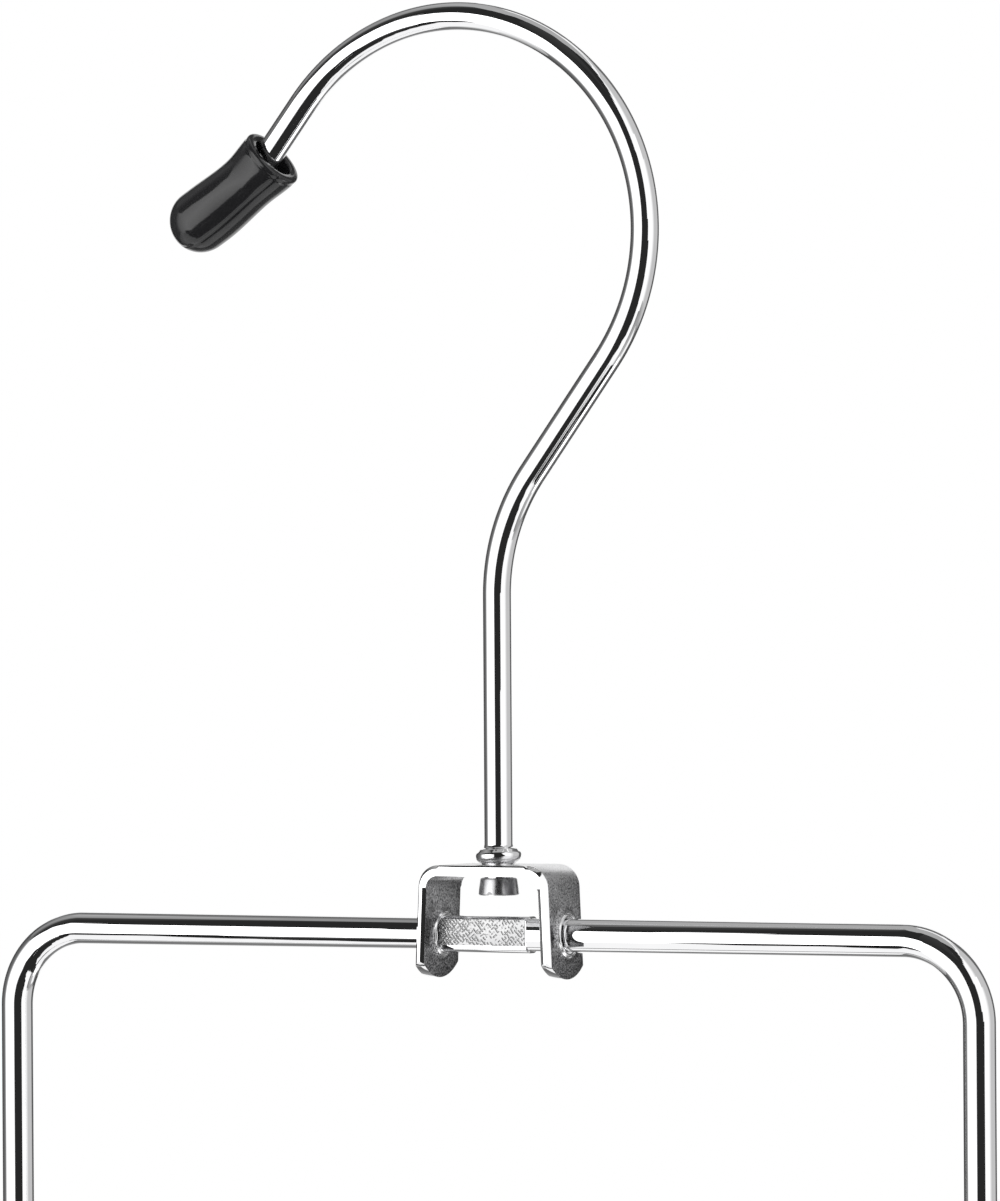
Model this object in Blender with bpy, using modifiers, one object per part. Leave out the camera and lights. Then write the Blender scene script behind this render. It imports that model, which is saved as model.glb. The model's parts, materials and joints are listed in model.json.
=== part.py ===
"""Chromed wire tie hanger: a hook that swivels in a stamped bracket, and a closed frame that swings in it.

Metres, +Z up. X runs along the frame's top bar, -Y is the front and the hook lies in the XZ plane.
The origin is on the swivel axis, on the inside of the hook's crown, where a closet rail carries it.
"""

import math
from typing import NamedTuple

import bmesh
import bpy
from mathutils import Matrix, Vector

MM = 0.001

# Clearances
SEAT_GAP = 0.3 * MM  # between pieces that rest against each other
RUNNING_GAP = 0.2 * MM  # round a wire that turns in a hole
OVERRUN = 2.0 * MM  # how far a cutter passes the surface it cuts

# Hook wire and its bends, in order from the bracket upwards
HOOK_WIRE_D = 3.5 * MM
SHAFT_LENGTH = 32.8 * MM
EASING_RADIUS = 24.7 * MM
EASING_ANGLE = math.radians(37.0)
DIAGONAL_LENGTH = 17.0 * MM
CROWN_RADIUS = 26.5 * MM
CROWN_ANGLE = math.radians(178.7)
BARE_TIP_LENGTH = 7.5 * MM  # from the end of the crown to the cap's mouth

# Hook foot, upset above the bracket and peened below it
COLLAR_D = 5.66 * MM
COLLAR_HEIGHT = 2.1 * MM
COLLAR_FOOT_D = 4.1 * MM
COLLAR_ROUND = 0.75 * MM
COLLAR_SHOULDER = 0.2 * MM  # flat ring on top of the bead, round the wire
BEAD_TOP = math.radians(75.0)
BEAD_BOTTOM = math.radians(-30.0)
RIVET_HEAD_D = 4.95 * MM
RIVET_NECK_D = 4.5 * MM
RIVET_HEAD_HEIGHT = 1.9 * MM
RIVET_RIM_HEIGHT = 0.5 * MM  # at full width, below the flare
RIVET_DISH_D = 3.2 * MM
RIVET_DISH_FLOOR_D = 1.6 * MM
RIVET_DISH_DEPTH = 0.6 * MM

# Vinyl cap on the hook's tip, a loose sleeve with a domed end that curls over
TIP_IN_CAP = 6.0 * MM
CAP_SPARE = 5.5 * MM  # hollow left beyond the wire's end
CAP_END = 5.5 * MM  # solid vinyl beyond the hollow
CAP_SLACK = 1.0 * MM  # radial play of the wire in the bore
CAP_WALL = 1.05 * MM
CAP_LIP_GROWTH = 0.3 * MM  # how far the mouth flares past the body
CAP_LIP_LENGTH = 3.0 * MM
CAP_LIP_ROUND = 0.35 * MM
CAP_CURL = math.radians(13.0)  # over its whole length

# Stamped swivel bracket
SHEET = 1.3 * MM
BRACKET_INNER = 15.3 * MM  # between the ears, just under the bends
BRACKET_DEPTH = 9.3 * MM
BRACKET_BEND_R = 1.5 * MM  # inside
EAR_SPLAY = math.radians(2.5)
BAR_DROP = 8.5 * MM  # from the plate's top to the frame's top bar
LOBE_RADIUS = 6.25 * MM
LOBE_RISE = 0.9 * MM  # centre of the lobe's arc above the bar
COIN_DEPTH = 0.3 * MM  # chamfer pressed round each ear's hole
THROAT_ABOVE = 1.2 * MM  # slot from the hole to the rear edge: its lip above the bar's axis
THROAT_BELOW = 1.9 * MM  # its lip below the axis, at the hole
THROAT_MOUTH = 2.4 * MM  # and at the rear edge

# Frame, one closed loop of wire with a stamped flat between the ears
FRAME_WIRE_D = 4.0 * MM
FRAME_WIDTH = 133.0 * MM  # between the centres of the legs
FRAME_BEND_R = 9.8 * MM
FLAT_LENGTH = 12.2 * MM
FLAT_HEIGHT = 4.5 * MM
FLAT_THICKNESS = 3.0 * MM
FLAT_ROUND = 1.3 * MM
FLAT_SQUEEZE = 0.6 * MM  # metal that the stamp pushes aside
FLAT_RAMP = 1.0 * MM
FLAT_OFFSET = 0.7 * MM  # centre of the flat from the middle of the frame

# Tie bars and their grip sleeves
TIE_BAR_COUNT = 4
TIE_BAR_D = 3.0 * MM
FIRST_BAR_DROP = 62.0 * MM
BAR_PITCH = 50.0 * MM
WELD_FLARE = 0.5 * MM
WELD_LENGTH = 1.4 * MM
SLEEVE_WALL = 0.8 * MM
SLEEVE_MARGIN = 1.0 * MM  # from a sleeve's end to the start of the frame's bend
SLEEVE_ROUND = 0.25 * MM

# Facets
HOOK_SIDES = 16
FRAME_SIDES = 16
CAP_SIDES = 20
TURNED_STEPS = 32
BEND_STEP = math.radians(7.5)
FRAME_BEND_STEP = math.radians(11.25)
SHEET_BEND_STEP = math.radians(15.0)
PROFILE_STEP = math.radians(18.0)
LOBE_STEP = math.radians(9.0)
RIM_STEP = math.radians(45.0)
DOME_STEP = math.radians(13.5)
DOME_END = math.radians(81.0)  # where the dome's last ring is closed by a small flat
CAP_RING_STEP = 1.5 * MM
SMOOTH_ANGLE = math.radians(40.0)
MERGE = 0.001 * MM

# Sizes that follow from the others
CAP_BORE_D = HOOK_WIRE_D + 2 * CAP_SLACK
CAP_BODY_R = CAP_BORE_D / 2 + CAP_WALL
CAP_LENGTH = TIP_IN_CAP + CAP_SPARE + CAP_END
EAR_HOLE_D = FRAME_WIRE_D + 2 * RUNNING_GAP
INNER_FACE_AT_BAR = BRACKET_INNER / 2 + math.tan(EAR_SPLAY) * (
    BAR_DROP - SHEET - BRACKET_BEND_R * (1 - math.sin(EAR_SPLAY))
)
FLAT_CENTRE_X = RUNNING_GAP + FLAT_LENGTH / 2 - INNER_FACE_AT_BAR
FRAME_CENTRE_X = FLAT_CENTRE_X - FLAT_OFFSET
FRAME_HEIGHT = FIRST_BAR_DROP + TIE_BAR_COUNT * BAR_PITCH
SLEEVE_LENGTH = FRAME_WIDTH - 2 * FRAME_BEND_R - 2 * SLEEVE_MARGIN

# Turns a flat outline so that its (x, y) become (Y, Z) and its thickness runs along X
ACROSS_X = Matrix(((0, 0, 1, 0), (1, 0, 0, 0), (0, 1, 0, 0), (0, 0, 0, 1)))


class Straight(NamedTuple):
    """A straight run of wire or sheet."""

    length: float


class Bend(NamedTuple):
    """A bend on its centreline radius; a positive angle turns left as seen from the front."""

    radius: float
    angle: float


class Walk(NamedTuple):
    """Where a bend table has led: the points so far, the last centre of a bend, and the heading."""

    points: list
    centre: Vector
    heading: float


def walk(steps, heading, bend_step, start=(0.0, 0.0)):
    """Follows a bend table in the XZ plane from start, sampling each bend every bend_step."""
    here = Vector(start)
    points = [here.copy()]
    centre = here.copy()
    for step in steps:
        along = Vector((math.cos(heading), math.sin(heading)))
        if isinstance(step, Straight):
            here = here + along * step.length
            points.append(here.copy())
            continue
        side = math.copysign(1.0, step.angle)
        centre = here + Vector((-along.y, along.x)) * step.radius * side
        arm = here - centre
        count = max(2, math.ceil(abs(step.angle) / bend_step))
        for index in range(1, count + 1):
            turn = Matrix.Rotation(step.angle * index / count, 2)
            points.append(centre + turn @ arm)
        here = points[-1].copy()
        heading += step.angle
    return Walk(points, centre, heading)


def arc(centre, radius, first, last, step=PROFILE_STEP):
    """Points of an arc in a plane, from the angle first to the angle last."""
    count = max(1, math.ceil(abs(last - first) / step))
    angles = [first + (last - first) * index / count for index in range(count + 1)]
    return [
        (centre[0] + radius * math.cos(angle), centre[1] + radius * math.sin(angle))
        for angle in angles
    ]


def new_collection(name):
    """A collection of the scene."""
    collection = bpy.data.collections.new(name)
    bpy.context.scene.collection.children.link(collection)
    return collection


def new_material(name, colour, metallic, roughness):
    """A finish with one colour, metallic value and roughness."""
    material = bpy.data.materials.new(name)
    material.use_nodes = True
    shader = material.node_tree.nodes["Principled BSDF"]
    shader.inputs["Base Color"].default_value = (*colour, 1.0)
    shader.inputs["Metallic"].default_value = metallic
    shader.inputs["Roughness"].default_value = roughness
    material.diffuse_color = (*colour, 1.0)
    return material


def new_empty(name, location, parent=None):
    """An empty on a joint's axis, which the moving pieces are parented to."""
    empty = bpy.data.objects.new(name, None)
    empty.empty_display_size = HOOK_WIRE_D
    empty.location = location
    empty.parent = parent
    parts.objects.link(empty)
    return empty


def seat(obj, parent, material=None):
    """Puts an object among the parts under its parent, or among the cutters if it has no material."""
    obj.parent = parent
    if material is None:
        obj.hide_render = True
        obj.display_type = "WIRE"
        cutters.objects.link(obj)
    else:
        obj.data.materials.append(material)
        parts.objects.link(obj)
    return obj


def lifted(points, depth=0.0):
    """Points of the XZ plane as points in space, at a depth along Y."""
    return [Vector((point[0], depth, point[1])) for point in points]


def meshed(curve, turn=None):
    """An object with the curve's shape as a closed mesh, turned if asked; the curve is removed."""
    name = curve.name
    source = bpy.data.objects.new(name, curve)
    cutters.objects.link(source)
    bpy.context.view_layer.update()
    graph = bpy.context.evaluated_depsgraph_get()
    mesh = bpy.data.meshes.new_from_object(source.evaluated_get(graph))
    bpy.data.objects.remove(source)
    bpy.data.curves.remove(curve)
    work = bmesh.new()
    work.from_mesh(mesh)
    bmesh.ops.remove_doubles(work, verts=work.verts, dist=MERGE)
    bmesh.ops.recalc_face_normals(work, faces=work.faces)
    bmesh.ops.transform(work, matrix=turn or Matrix.Identity(4), verts=work.verts)
    work.to_mesh(mesh)
    work.free()
    mesh.shade_smooth()
    mesh.set_sharp_from_angle(angle=SMOOTH_ANGLE)
    mesh.name = name
    return bpy.data.objects.new(name, mesh)


def swept(name, points, radii, sides, cyclic=False):
    """A round bar along the points, of one radius for each point."""
    curve = bpy.data.curves.new(name, "CURVE")
    curve.dimensions = "3D"
    curve.bevel_depth = 1.0
    curve.bevel_resolution = (sides - 4) // 2
    curve.use_fill_caps = not cyclic
    spline = curve.splines.new("POLY")
    spline.points.add(len(points) - 1)
    for point, where, radius in zip(spline.points, points, radii):
        point.co = (*where, 1.0)
        point.radius = radius
    spline.use_cyclic_u = cyclic
    return meshed(curve)


def plate(name, outline, thickness, turn=None):
    """A flat outline with a thickness, centred on its plane."""
    curve = bpy.data.curves.new(name, "CURVE")
    curve.dimensions = "2D"
    curve.fill_mode = "BOTH"
    curve.extrude = thickness / 2
    spline = curve.splines.new("POLY")
    spline.points.add(len(outline) - 1)
    for point, (x, y) in zip(spline.points, outline):
        point.co = (x, y, 0.0, 1.0)
    spline.use_cyclic_u = True
    return meshed(curve, turn)


def turned(name, profile, closed=False):
    """A shape turned about Z from (radius, height) points that run down its outer side."""
    mesh = bpy.data.meshes.new(name)
    work = bmesh.new()
    verts = [work.verts.new((radius, 0.0, height)) for radius, height in profile]
    for first, second in zip(verts, verts[1:]):
        work.edges.new((first, second))
    if closed:
        work.edges.new((verts[-1], verts[0]))
    work.to_mesh(mesh)
    work.free()
    obj = bpy.data.objects.new(name, mesh)
    screw = obj.modifiers.new("Screw", "SCREW")
    screw.steps = TURNED_STEPS
    screw.render_steps = TURNED_STEPS
    screw.use_merge_vertices = True
    screw.merge_threshold = MERGE
    screw.use_smooth_shade = True
    return obj


def combine(obj, other, operation):
    """Adds a Boolean with another object to obj."""
    boolean = obj.modifiers.new(other.name, "BOOLEAN")
    boolean.operation = operation
    boolean.object = other


def hook_route():
    """The hook wire's bend table from the plate's top to the wire's end, walked."""
    table = [
        Straight(SHAFT_LENGTH),
        Bend(EASING_RADIUS, -EASING_ANGLE),
        Straight(DIAGONAL_LENGTH),
        Bend(CROWN_RADIUS, CROWN_ANGLE),
    ]
    crown = walk(table, math.pi / 2, BEND_STEP)
    tip = [Straight(BARE_TIP_LENGTH), Straight(TIP_IN_CAP)]
    end = walk(tip, crown.heading, BEND_STEP, crown.points[-1])
    return Walk(crown.points + end.points[1:], crown.centre, crown.heading)


def rail_level(route):
    """Height of the crown's inside above the plate, straight above the swivel axis."""
    inner = CROWN_RADIUS - HOOK_WIRE_D / 2
    return route.centre.y + math.sqrt(inner**2 - route.centre.x**2)


def foot_profile():
    """Collar bead, neck through the plate and peened head, from the top down."""
    neck = HOOK_WIRE_D / 2
    top = SEAT_GAP + COLLAR_HEIGHT
    under = -SHEET - SEAT_GAP
    bottom = under - RIVET_HEAD_HEIGHT
    bead_centre = (COLLAR_D / 2 - COLLAR_ROUND, top - COLLAR_ROUND)
    return [
        (0.0, top),
        (neck + COLLAR_SHOULDER, top),
        *arc(bead_centre, COLLAR_ROUND, BEAD_TOP, BEAD_BOTTOM),
        (COLLAR_FOOT_D / 2, SEAT_GAP),
        (neck, SEAT_GAP),
        (neck, under),
        (RIVET_NECK_D / 2, under),
        (RIVET_HEAD_D / 2, bottom + RIVET_RIM_HEIGHT),
        (RIVET_HEAD_D / 2, bottom),
        (RIVET_DISH_D / 2, bottom),
        (RIVET_DISH_FLOOR_D / 2, bottom + RIVET_DISH_DEPTH),
        (0.0, bottom + RIVET_DISH_DEPTH),
    ]


def make_hook_wire(route, parent):
    """The hook, bent from one wire, with its upset collar and peened foot."""
    start = SEAT_GAP + COLLAR_HEIGHT / 2
    points = lifted([(0.0, start)] + route.points[1:])
    radii = [HOOK_WIRE_D / 2] * len(points)
    hook = seat(swept("hook_wire", points, radii, HOOK_SIDES), parent, chrome)
    foot = seat(turned("hook_foot", foot_profile()), parent)
    combine(hook, foot, "UNION")


def cap_radius(distance):
    """The cap's outer radius at a distance from its mouth: a flared lip, a body and a domed end."""
    if distance < CAP_LIP_LENGTH:
        share = distance / CAP_LIP_LENGTH
        return CAP_BODY_R + CAP_LIP_GROWTH * (1 + math.cos(math.pi * share)) / 2
    past = distance - (CAP_LENGTH - CAP_BODY_R)
    if past <= 0.0:
        return CAP_BODY_R
    return math.sqrt(max(CAP_BODY_R**2 - past**2, 0.0))


def make_hook_tip_cap(route, parent):
    """The vinyl cap. It sits cocked, because the wire lies against its bore at the mouth and at the end."""
    along = Vector((math.cos(route.heading), math.sin(route.heading)))
    left = Vector((-along.y, along.x))
    play = CAP_SLACK - SEAT_GAP
    cock = 2 * play / TIP_IN_CAP - CAP_CURL * TIP_IN_CAP / (2 * CAP_LENGTH)
    mouth = route.points[-1] - along * TIP_IN_CAP + left * play
    heading = route.heading - cock
    curl_radius = CAP_LENGTH / CAP_CURL

    def at(distance):
        """The point of the cap's curved axis at a distance from its mouth."""
        curl = Bend(curl_radius, -distance / curl_radius)
        return walk([curl], heading, BEND_STEP, mouth).points[-1]

    shoulder = CAP_LENGTH - CAP_BODY_R
    body = shoulder - CAP_LIP_ROUND
    count = math.ceil(body / CAP_RING_STEP)
    rings = [CAP_LIP_ROUND + body * index / count for index in range(count + 1)]
    dome = arc((0.0, 0.0), CAP_BODY_R, 0.0, DOME_END, DOME_STEP)
    rings += [shoulder + height for _, height in dome[1:]]
    radii = [cap_radius(0.0) - CAP_LIP_ROUND] + [cap_radius(ring) for ring in rings]
    points = lifted([mouth] + [at(ring) for ring in rings])
    cap = seat(swept("hook_tip_cap", points, radii, CAP_SIDES), parent, vinyl)

    depth = TIP_IN_CAP + CAP_SPARE
    outside = mouth - Vector((math.cos(heading), math.sin(heading))) * OVERRUN
    steps = math.ceil(depth / CAP_RING_STEP)
    way_in = [outside] + [at(depth * index / steps) for index in range(1, steps + 1)]
    bore_radii = [CAP_BORE_D / 2] * len(way_in)
    bore = swept("cap_bore", lifted(way_in), bore_radii, CAP_SIDES)
    combine(cap, seat(bore, parent), "DIFFERENCE")


def bent_strip():
    """Half of the bracket's middle surface, from the plate's centre down one ear."""
    table = [
        Straight(BRACKET_INNER / 2 - BRACKET_BEND_R * math.cos(EAR_SPLAY)),
        Bend(BRACKET_BEND_R + SHEET / 2, EAR_SPLAY - math.pi / 2),
        Straight(BAR_DROP + LOBE_RADIUS),
    ]
    return walk(table, 0.0, SHEET_BEND_STEP, (0.0, -SHEET / 2)).points


def ear_outline():
    """The ears seen from the side, as (y, z): straight edges and a round lobe at the bottom."""
    half = BRACKET_DEPTH / 2
    centre = (0.0, LOBE_RISE - BAR_DROP)
    lean = math.acos(min(half / LOBE_RADIUS, 1.0))
    lobe = arc(centre, LOBE_RADIUS, lean - math.pi, -lean, LOBE_STEP)
    return [(half, OVERRUN), (-half, OVERRUN)] + lobe


def throat_outline():
    """The slot from each ear's hole to its rear edge, as (y, z) from the bar's axis."""
    back = BRACKET_DEPTH / 2 + OVERRUN
    slope = (THROAT_MOUTH - THROAT_BELOW) / (BRACKET_DEPTH / 2)
    return [
        (0.0, THROAT_ABOVE),
        (0.0, -THROAT_BELOW),
        (back, -THROAT_BELOW - slope * back),
        (back, THROAT_ABOVE),
    ]


def ear_hole_profile():
    """The hole through both ears with a pressed chamfer at each face, turned about the bar's axis."""
    radius = EAR_HOLE_D / 2
    inner = INNER_FACE_AT_BAR
    outer = inner + SHEET / math.cos(EAR_SPLAY)
    flare = radius + COIN_DEPTH + OVERRUN
    right = [
        (flare, outer + OVERRUN),
        (radius, outer - COIN_DEPTH),
        (radius, inner + COIN_DEPTH),
        (flare, inner - OVERRUN),
    ]
    left = [(size, -height) for size, height in reversed(right)]
    return [(0.0, outer + OVERRUN)] + right + left + [(0.0, -outer - OVERRUN)]


def make_swivel_bracket(parent):
    """A strip of sheet bent into a clevis, with a swivel hole and two open-throated ears."""
    mesh = bpy.data.meshes.new("swivel_bracket")
    work = bmesh.new()
    front = [work.verts.new(point) for point in lifted(bent_strip(), -BRACKET_DEPTH)]
    edges = [work.edges.new(pair) for pair in zip(front, front[1:])]
    strip = bmesh.ops.extrude_edge_only(work, edges=edges)["geom"]
    back = [item for item in strip if isinstance(item, bmesh.types.BMVert)]
    bmesh.ops.translate(work, verts=back, vec=(0.0, 2 * BRACKET_DEPTH, 0.0))
    work.to_mesh(mesh)
    work.free()
    bracket = seat(bpy.data.objects.new("swivel_bracket", mesh), parent, plated)
    mirror = bracket.modifiers.new("Mirror", "MIRROR")
    mirror.merge_threshold = MERGE
    solidify = bracket.modifiers.new("Sheet", "SOLIDIFY")
    solidify.thickness = SHEET
    solidify.offset = 0.0
    solidify.use_even_offset = True

    width = 2 * (BRACKET_INNER + SHEET)
    outline = seat(plate("ear_outline", ear_outline(), width, ACROSS_X), parent)
    combine(bracket, outline, "INTERSECT")

    hole = HOOK_WIRE_D / 2 + RUNNING_GAP
    below = -SHEET - OVERRUN
    through = [(0.0, OVERRUN), (hole, OVERRUN), (hole, below), (0.0, below)]
    combine(bracket, seat(turned("swivel_hole", through), parent), "DIFFERENCE")

    ear_hole = seat(turned("ear_holes", ear_hole_profile()), parent)
    ear_hole.location.z = -BAR_DROP
    ear_hole.rotation_euler.y = math.pi / 2
    combine(bracket, ear_hole, "DIFFERENCE")

    throat = seat(plate("ear_throats", throat_outline(), width, ACROSS_X), parent)
    throat.location.z = -BAR_DROP
    combine(bracket, throat, "DIFFERENCE")


def frame_route():
    """The frame's closed loop about its own centre line, from the middle of the top bar."""
    half = FRAME_WIDTH / 2 - FRAME_BEND_R
    side = FRAME_HEIGHT - 2 * FRAME_BEND_R
    corner = Bend(FRAME_BEND_R, -math.pi / 2)
    table = [Straight(half), corner, Straight(side), corner, Straight(2 * half)]
    table += [corner, Straight(side), corner]
    return walk(table, 0.0, FRAME_BEND_STEP, (FRAME_CENTRE_X, 0.0)).points


def flat_section():
    """Section of the metal that the stamp spreads up and down, as (y, z)."""
    half_y = (FLAT_THICKNESS + FLAT_SQUEEZE) / 2 - FLAT_ROUND
    half_z = FLAT_HEIGHT / 2 - FLAT_ROUND
    corners = [(half_y, half_z), (-half_y, half_z), (-half_y, -half_z), (half_y, -half_z)]
    outline = []
    for index, corner in enumerate(corners):
        first = index * math.pi / 2
        outline += arc(corner, FLAT_ROUND, first, first + math.pi / 2)
    return outline


def stamp_outline(side):
    """The stamp's path in front of the wire (side -1) or behind it (side 1), as (x, y)."""
    face = FLAT_THICKNESS / 2
    out = FRAME_WIRE_D + OVERRUN
    half = FLAT_LENGTH / 2
    ramp = FLAT_RAMP * (out - face) / (FRAME_WIRE_D / 2)
    return [
        (-half, side * face),
        (half, side * face),
        (half + ramp, side * out),
        (-half - ramp, side * out),
    ]


def make_frame_wire(parent):
    """The closed loop, with the flat stamped into its top bar between the ears."""
    points = lifted(frame_route())
    radii = [FRAME_WIRE_D / 2] * len(points)
    frame = seat(swept("frame_wire", points, radii, FRAME_SIDES, cyclic=True), parent, chrome)
    land = seat(plate("flat_land", flat_section(), FLAT_LENGTH, ACROSS_X), parent)
    land.location.x = FLAT_CENTRE_X
    combine(frame, land, "UNION")
    for name, side in (("front_stamp", -1), ("rear_stamp", 1)):
        stamp = seat(plate(name, stamp_outline(side), 2 * FRAME_WIRE_D), parent)
        stamp.location.x = FLAT_CENTRE_X
        combine(frame, stamp, "DIFFERENCE")


def make_tie_bar(number, drop, parent):
    """A rod across the frame, its ends upset by the weld and coped to the legs."""
    rod = TIE_BAR_D / 2
    weld = rod + WELD_FLARE
    leg = FRAME_WIDTH / 2
    cope_radius = FRAME_WIRE_D / 2 + SEAT_GAP
    reach = leg - cope_radius
    right = [(0.0, leg), (weld, leg), (weld, reach), (rod, reach - WELD_LENGTH)]
    left = [(radius, -height) for radius, height in reversed(right)]
    bar = seat(turned(f"tie_bar_{number}", right + left), parent, chrome)
    bar.location = (FRAME_CENTRE_X, 0.0, -drop)
    bar.rotation_euler.y = math.pi / 2
    half = FRAME_WIRE_D
    cope_profile = [(0.0, half), (cope_radius, half), (cope_radius, -half), (0.0, -half)]
    for label, side in (("left", -1), ("right", 1)):
        cope = seat(turned(f"cope_{number}_{label}", cope_profile), parent)
        cope.location = (FRAME_CENTRE_X + side * leg, 0.0, -drop)
        combine(bar, cope, "DIFFERENCE")


def make_grip_sleeve(number, drop, wire_d, parent):
    """A vinyl tube over a run of wire, its two rims rounded."""
    inner = wire_d / 2 + SEAT_GAP
    outer = inner + SLEEVE_WALL
    half = SLEEVE_LENGTH / 2
    upper = (outer - SLEEVE_ROUND, half - SLEEVE_ROUND)
    lower = (outer - SLEEVE_ROUND, SLEEVE_ROUND - half)
    profile = [
        (inner, half),
        *arc(upper, SLEEVE_ROUND, math.pi / 2, 0.0, RIM_STEP),
        *arc(lower, SLEEVE_ROUND, 0.0, -math.pi / 2, RIM_STEP),
        (inner, -half),
    ]
    sleeve = seat(turned(f"grip_sleeve_{number}", profile, closed=True), parent, vinyl)
    sleeve.location = (FRAME_CENTRE_X, 0.0, -drop)
    sleeve.rotation_euler.y = math.pi / 2


for old in list(bpy.data.objects):
    bpy.data.objects.remove(old)

parts = new_collection("tie_hanger")
cutters = new_collection("cutters")
chrome = new_material("chrome_wire", (0.82, 0.82, 0.83), 1.0, 0.06)
plated = new_material("plated_steel", (0.58, 0.58, 0.59), 1.0, 0.32)
vinyl = new_material("black_vinyl", (0.014, 0.014, 0.015), 0.0, 0.18)

hook_path = hook_route()
swivel_axis = new_empty("swivel_axis", (0.0, 0.0, -rail_level(hook_path)))
swing_axis = new_empty("swing_axis", (0.0, 0.0, -BAR_DROP), swivel_axis)

make_hook_wire(hook_path, swivel_axis)
make_hook_tip_cap(hook_path, swivel_axis)
make_swivel_bracket(swivel_axis)
make_frame_wire(swing_axis)
for bar_index in range(TIE_BAR_COUNT):
    bar_drop = FIRST_BAR_DROP + bar_index * BAR_PITCH
    make_tie_bar(bar_index + 1, bar_drop, swing_axis)
    make_grip_sleeve(bar_index + 1, bar_drop, TIE_BAR_D, swing_axis)
make_grip_sleeve(TIE_BAR_COUNT + 1, FRAME_HEIGHT, FRAME_WIRE_D, swing_axis)
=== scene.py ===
"""Looks of the chromed wire tie hanger: fine wires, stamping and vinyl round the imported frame.

Metres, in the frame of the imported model: +Z up, X along the top bar, -Y the front.
"""

import json
import logging
import math
from collections.abc import Callable, Iterable, Sequence
from dataclasses import dataclass, field
from enum import Enum
from functools import cached_property
from typing import Any

import bpy
from mathutils import Matrix, Vector, noise

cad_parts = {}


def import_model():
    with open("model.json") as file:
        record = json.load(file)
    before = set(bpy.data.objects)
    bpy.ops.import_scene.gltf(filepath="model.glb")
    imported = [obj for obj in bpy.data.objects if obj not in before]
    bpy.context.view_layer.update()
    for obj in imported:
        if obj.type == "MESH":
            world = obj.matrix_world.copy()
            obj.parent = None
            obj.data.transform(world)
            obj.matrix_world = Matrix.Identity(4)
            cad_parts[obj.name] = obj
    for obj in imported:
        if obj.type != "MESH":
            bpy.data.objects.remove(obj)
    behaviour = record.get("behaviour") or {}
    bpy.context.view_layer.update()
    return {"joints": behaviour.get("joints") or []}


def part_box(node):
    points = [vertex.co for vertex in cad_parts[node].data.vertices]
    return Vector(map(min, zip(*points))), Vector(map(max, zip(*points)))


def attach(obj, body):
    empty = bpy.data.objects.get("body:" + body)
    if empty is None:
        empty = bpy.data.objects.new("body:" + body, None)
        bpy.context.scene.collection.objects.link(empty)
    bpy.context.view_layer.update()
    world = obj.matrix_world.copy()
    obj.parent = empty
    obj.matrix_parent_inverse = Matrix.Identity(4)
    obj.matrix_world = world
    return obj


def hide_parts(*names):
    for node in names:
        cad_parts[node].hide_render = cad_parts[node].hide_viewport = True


MM = 0.001
ROD = 3.0 * MM  # the four welded rods
ACROSS = Vector((0.0, 1.0, 0.0))  # the hook and the frame lie in the plane square to this
SAME_PLACE = 1e-7  # points closer together than this are merged
SEAM = 1e-6  # halves closer together than this are joined
LOPSIDED = Vector((0.123, 0.217, 0.341))  # corners that mirror one another aren't equally far from it
ROUNDING = 1e-6  # keeps a whole number of steps from becoming one more

log = logging.getLogger("tie_hanger")


class Slot(Enum):
    """The record's material slots."""

    CHROME = "chrome_wire"
    PLATED = "plated_steel"
    VINYL = "black_vinyl"


class Body(Enum):
    """The bodies that pieces ride on."""

    HOOK = "hook"
    BRACKET = "bracket"
    FRAME = "tie_frame"


class Carve(Enum):
    """What a Boolean does to a piece."""

    CUT = "DIFFERENCE"
    JOIN = "UNION"
    KEEP = "INTERSECT"


# Shader maths


class Value:
    """A number that a material works out; Python's operators on it add Math nodes."""

    def __init__(self, graph: "Graph", socket: bpy.types.NodeSocket) -> None:
        """Wraps an output socket of a graph."""
        self.graph = graph
        self.socket = socket

    def _maths(self, operation: str, *terms: "Value | float") -> "Value":
        """Adds a Math node on the terms, in order."""
        node = self.graph.add("ShaderNodeMath", {"operation": operation}, dict(enumerate(terms)))
        return Value(self.graph, node.outputs[0])

    def __add__(self, other: "Value | float") -> "Value":
        """self + other."""
        return self._maths("ADD", self, other)

    def __radd__(self, other: float) -> "Value":
        """other + self."""
        return self._maths("ADD", other, self)

    def __sub__(self, other: "Value | float") -> "Value":
        """self - other."""
        return self._maths("SUBTRACT", self, other)

    def __rsub__(self, other: float) -> "Value":
        """other - self."""
        return self._maths("SUBTRACT", other, self)

    def __mul__(self, other: "Value | float") -> "Value":
        """self * other."""
        return self._maths("MULTIPLY", self, other)

    def __rmul__(self, other: float) -> "Value":
        """other * self."""
        return self._maths("MULTIPLY", other, self)


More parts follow.
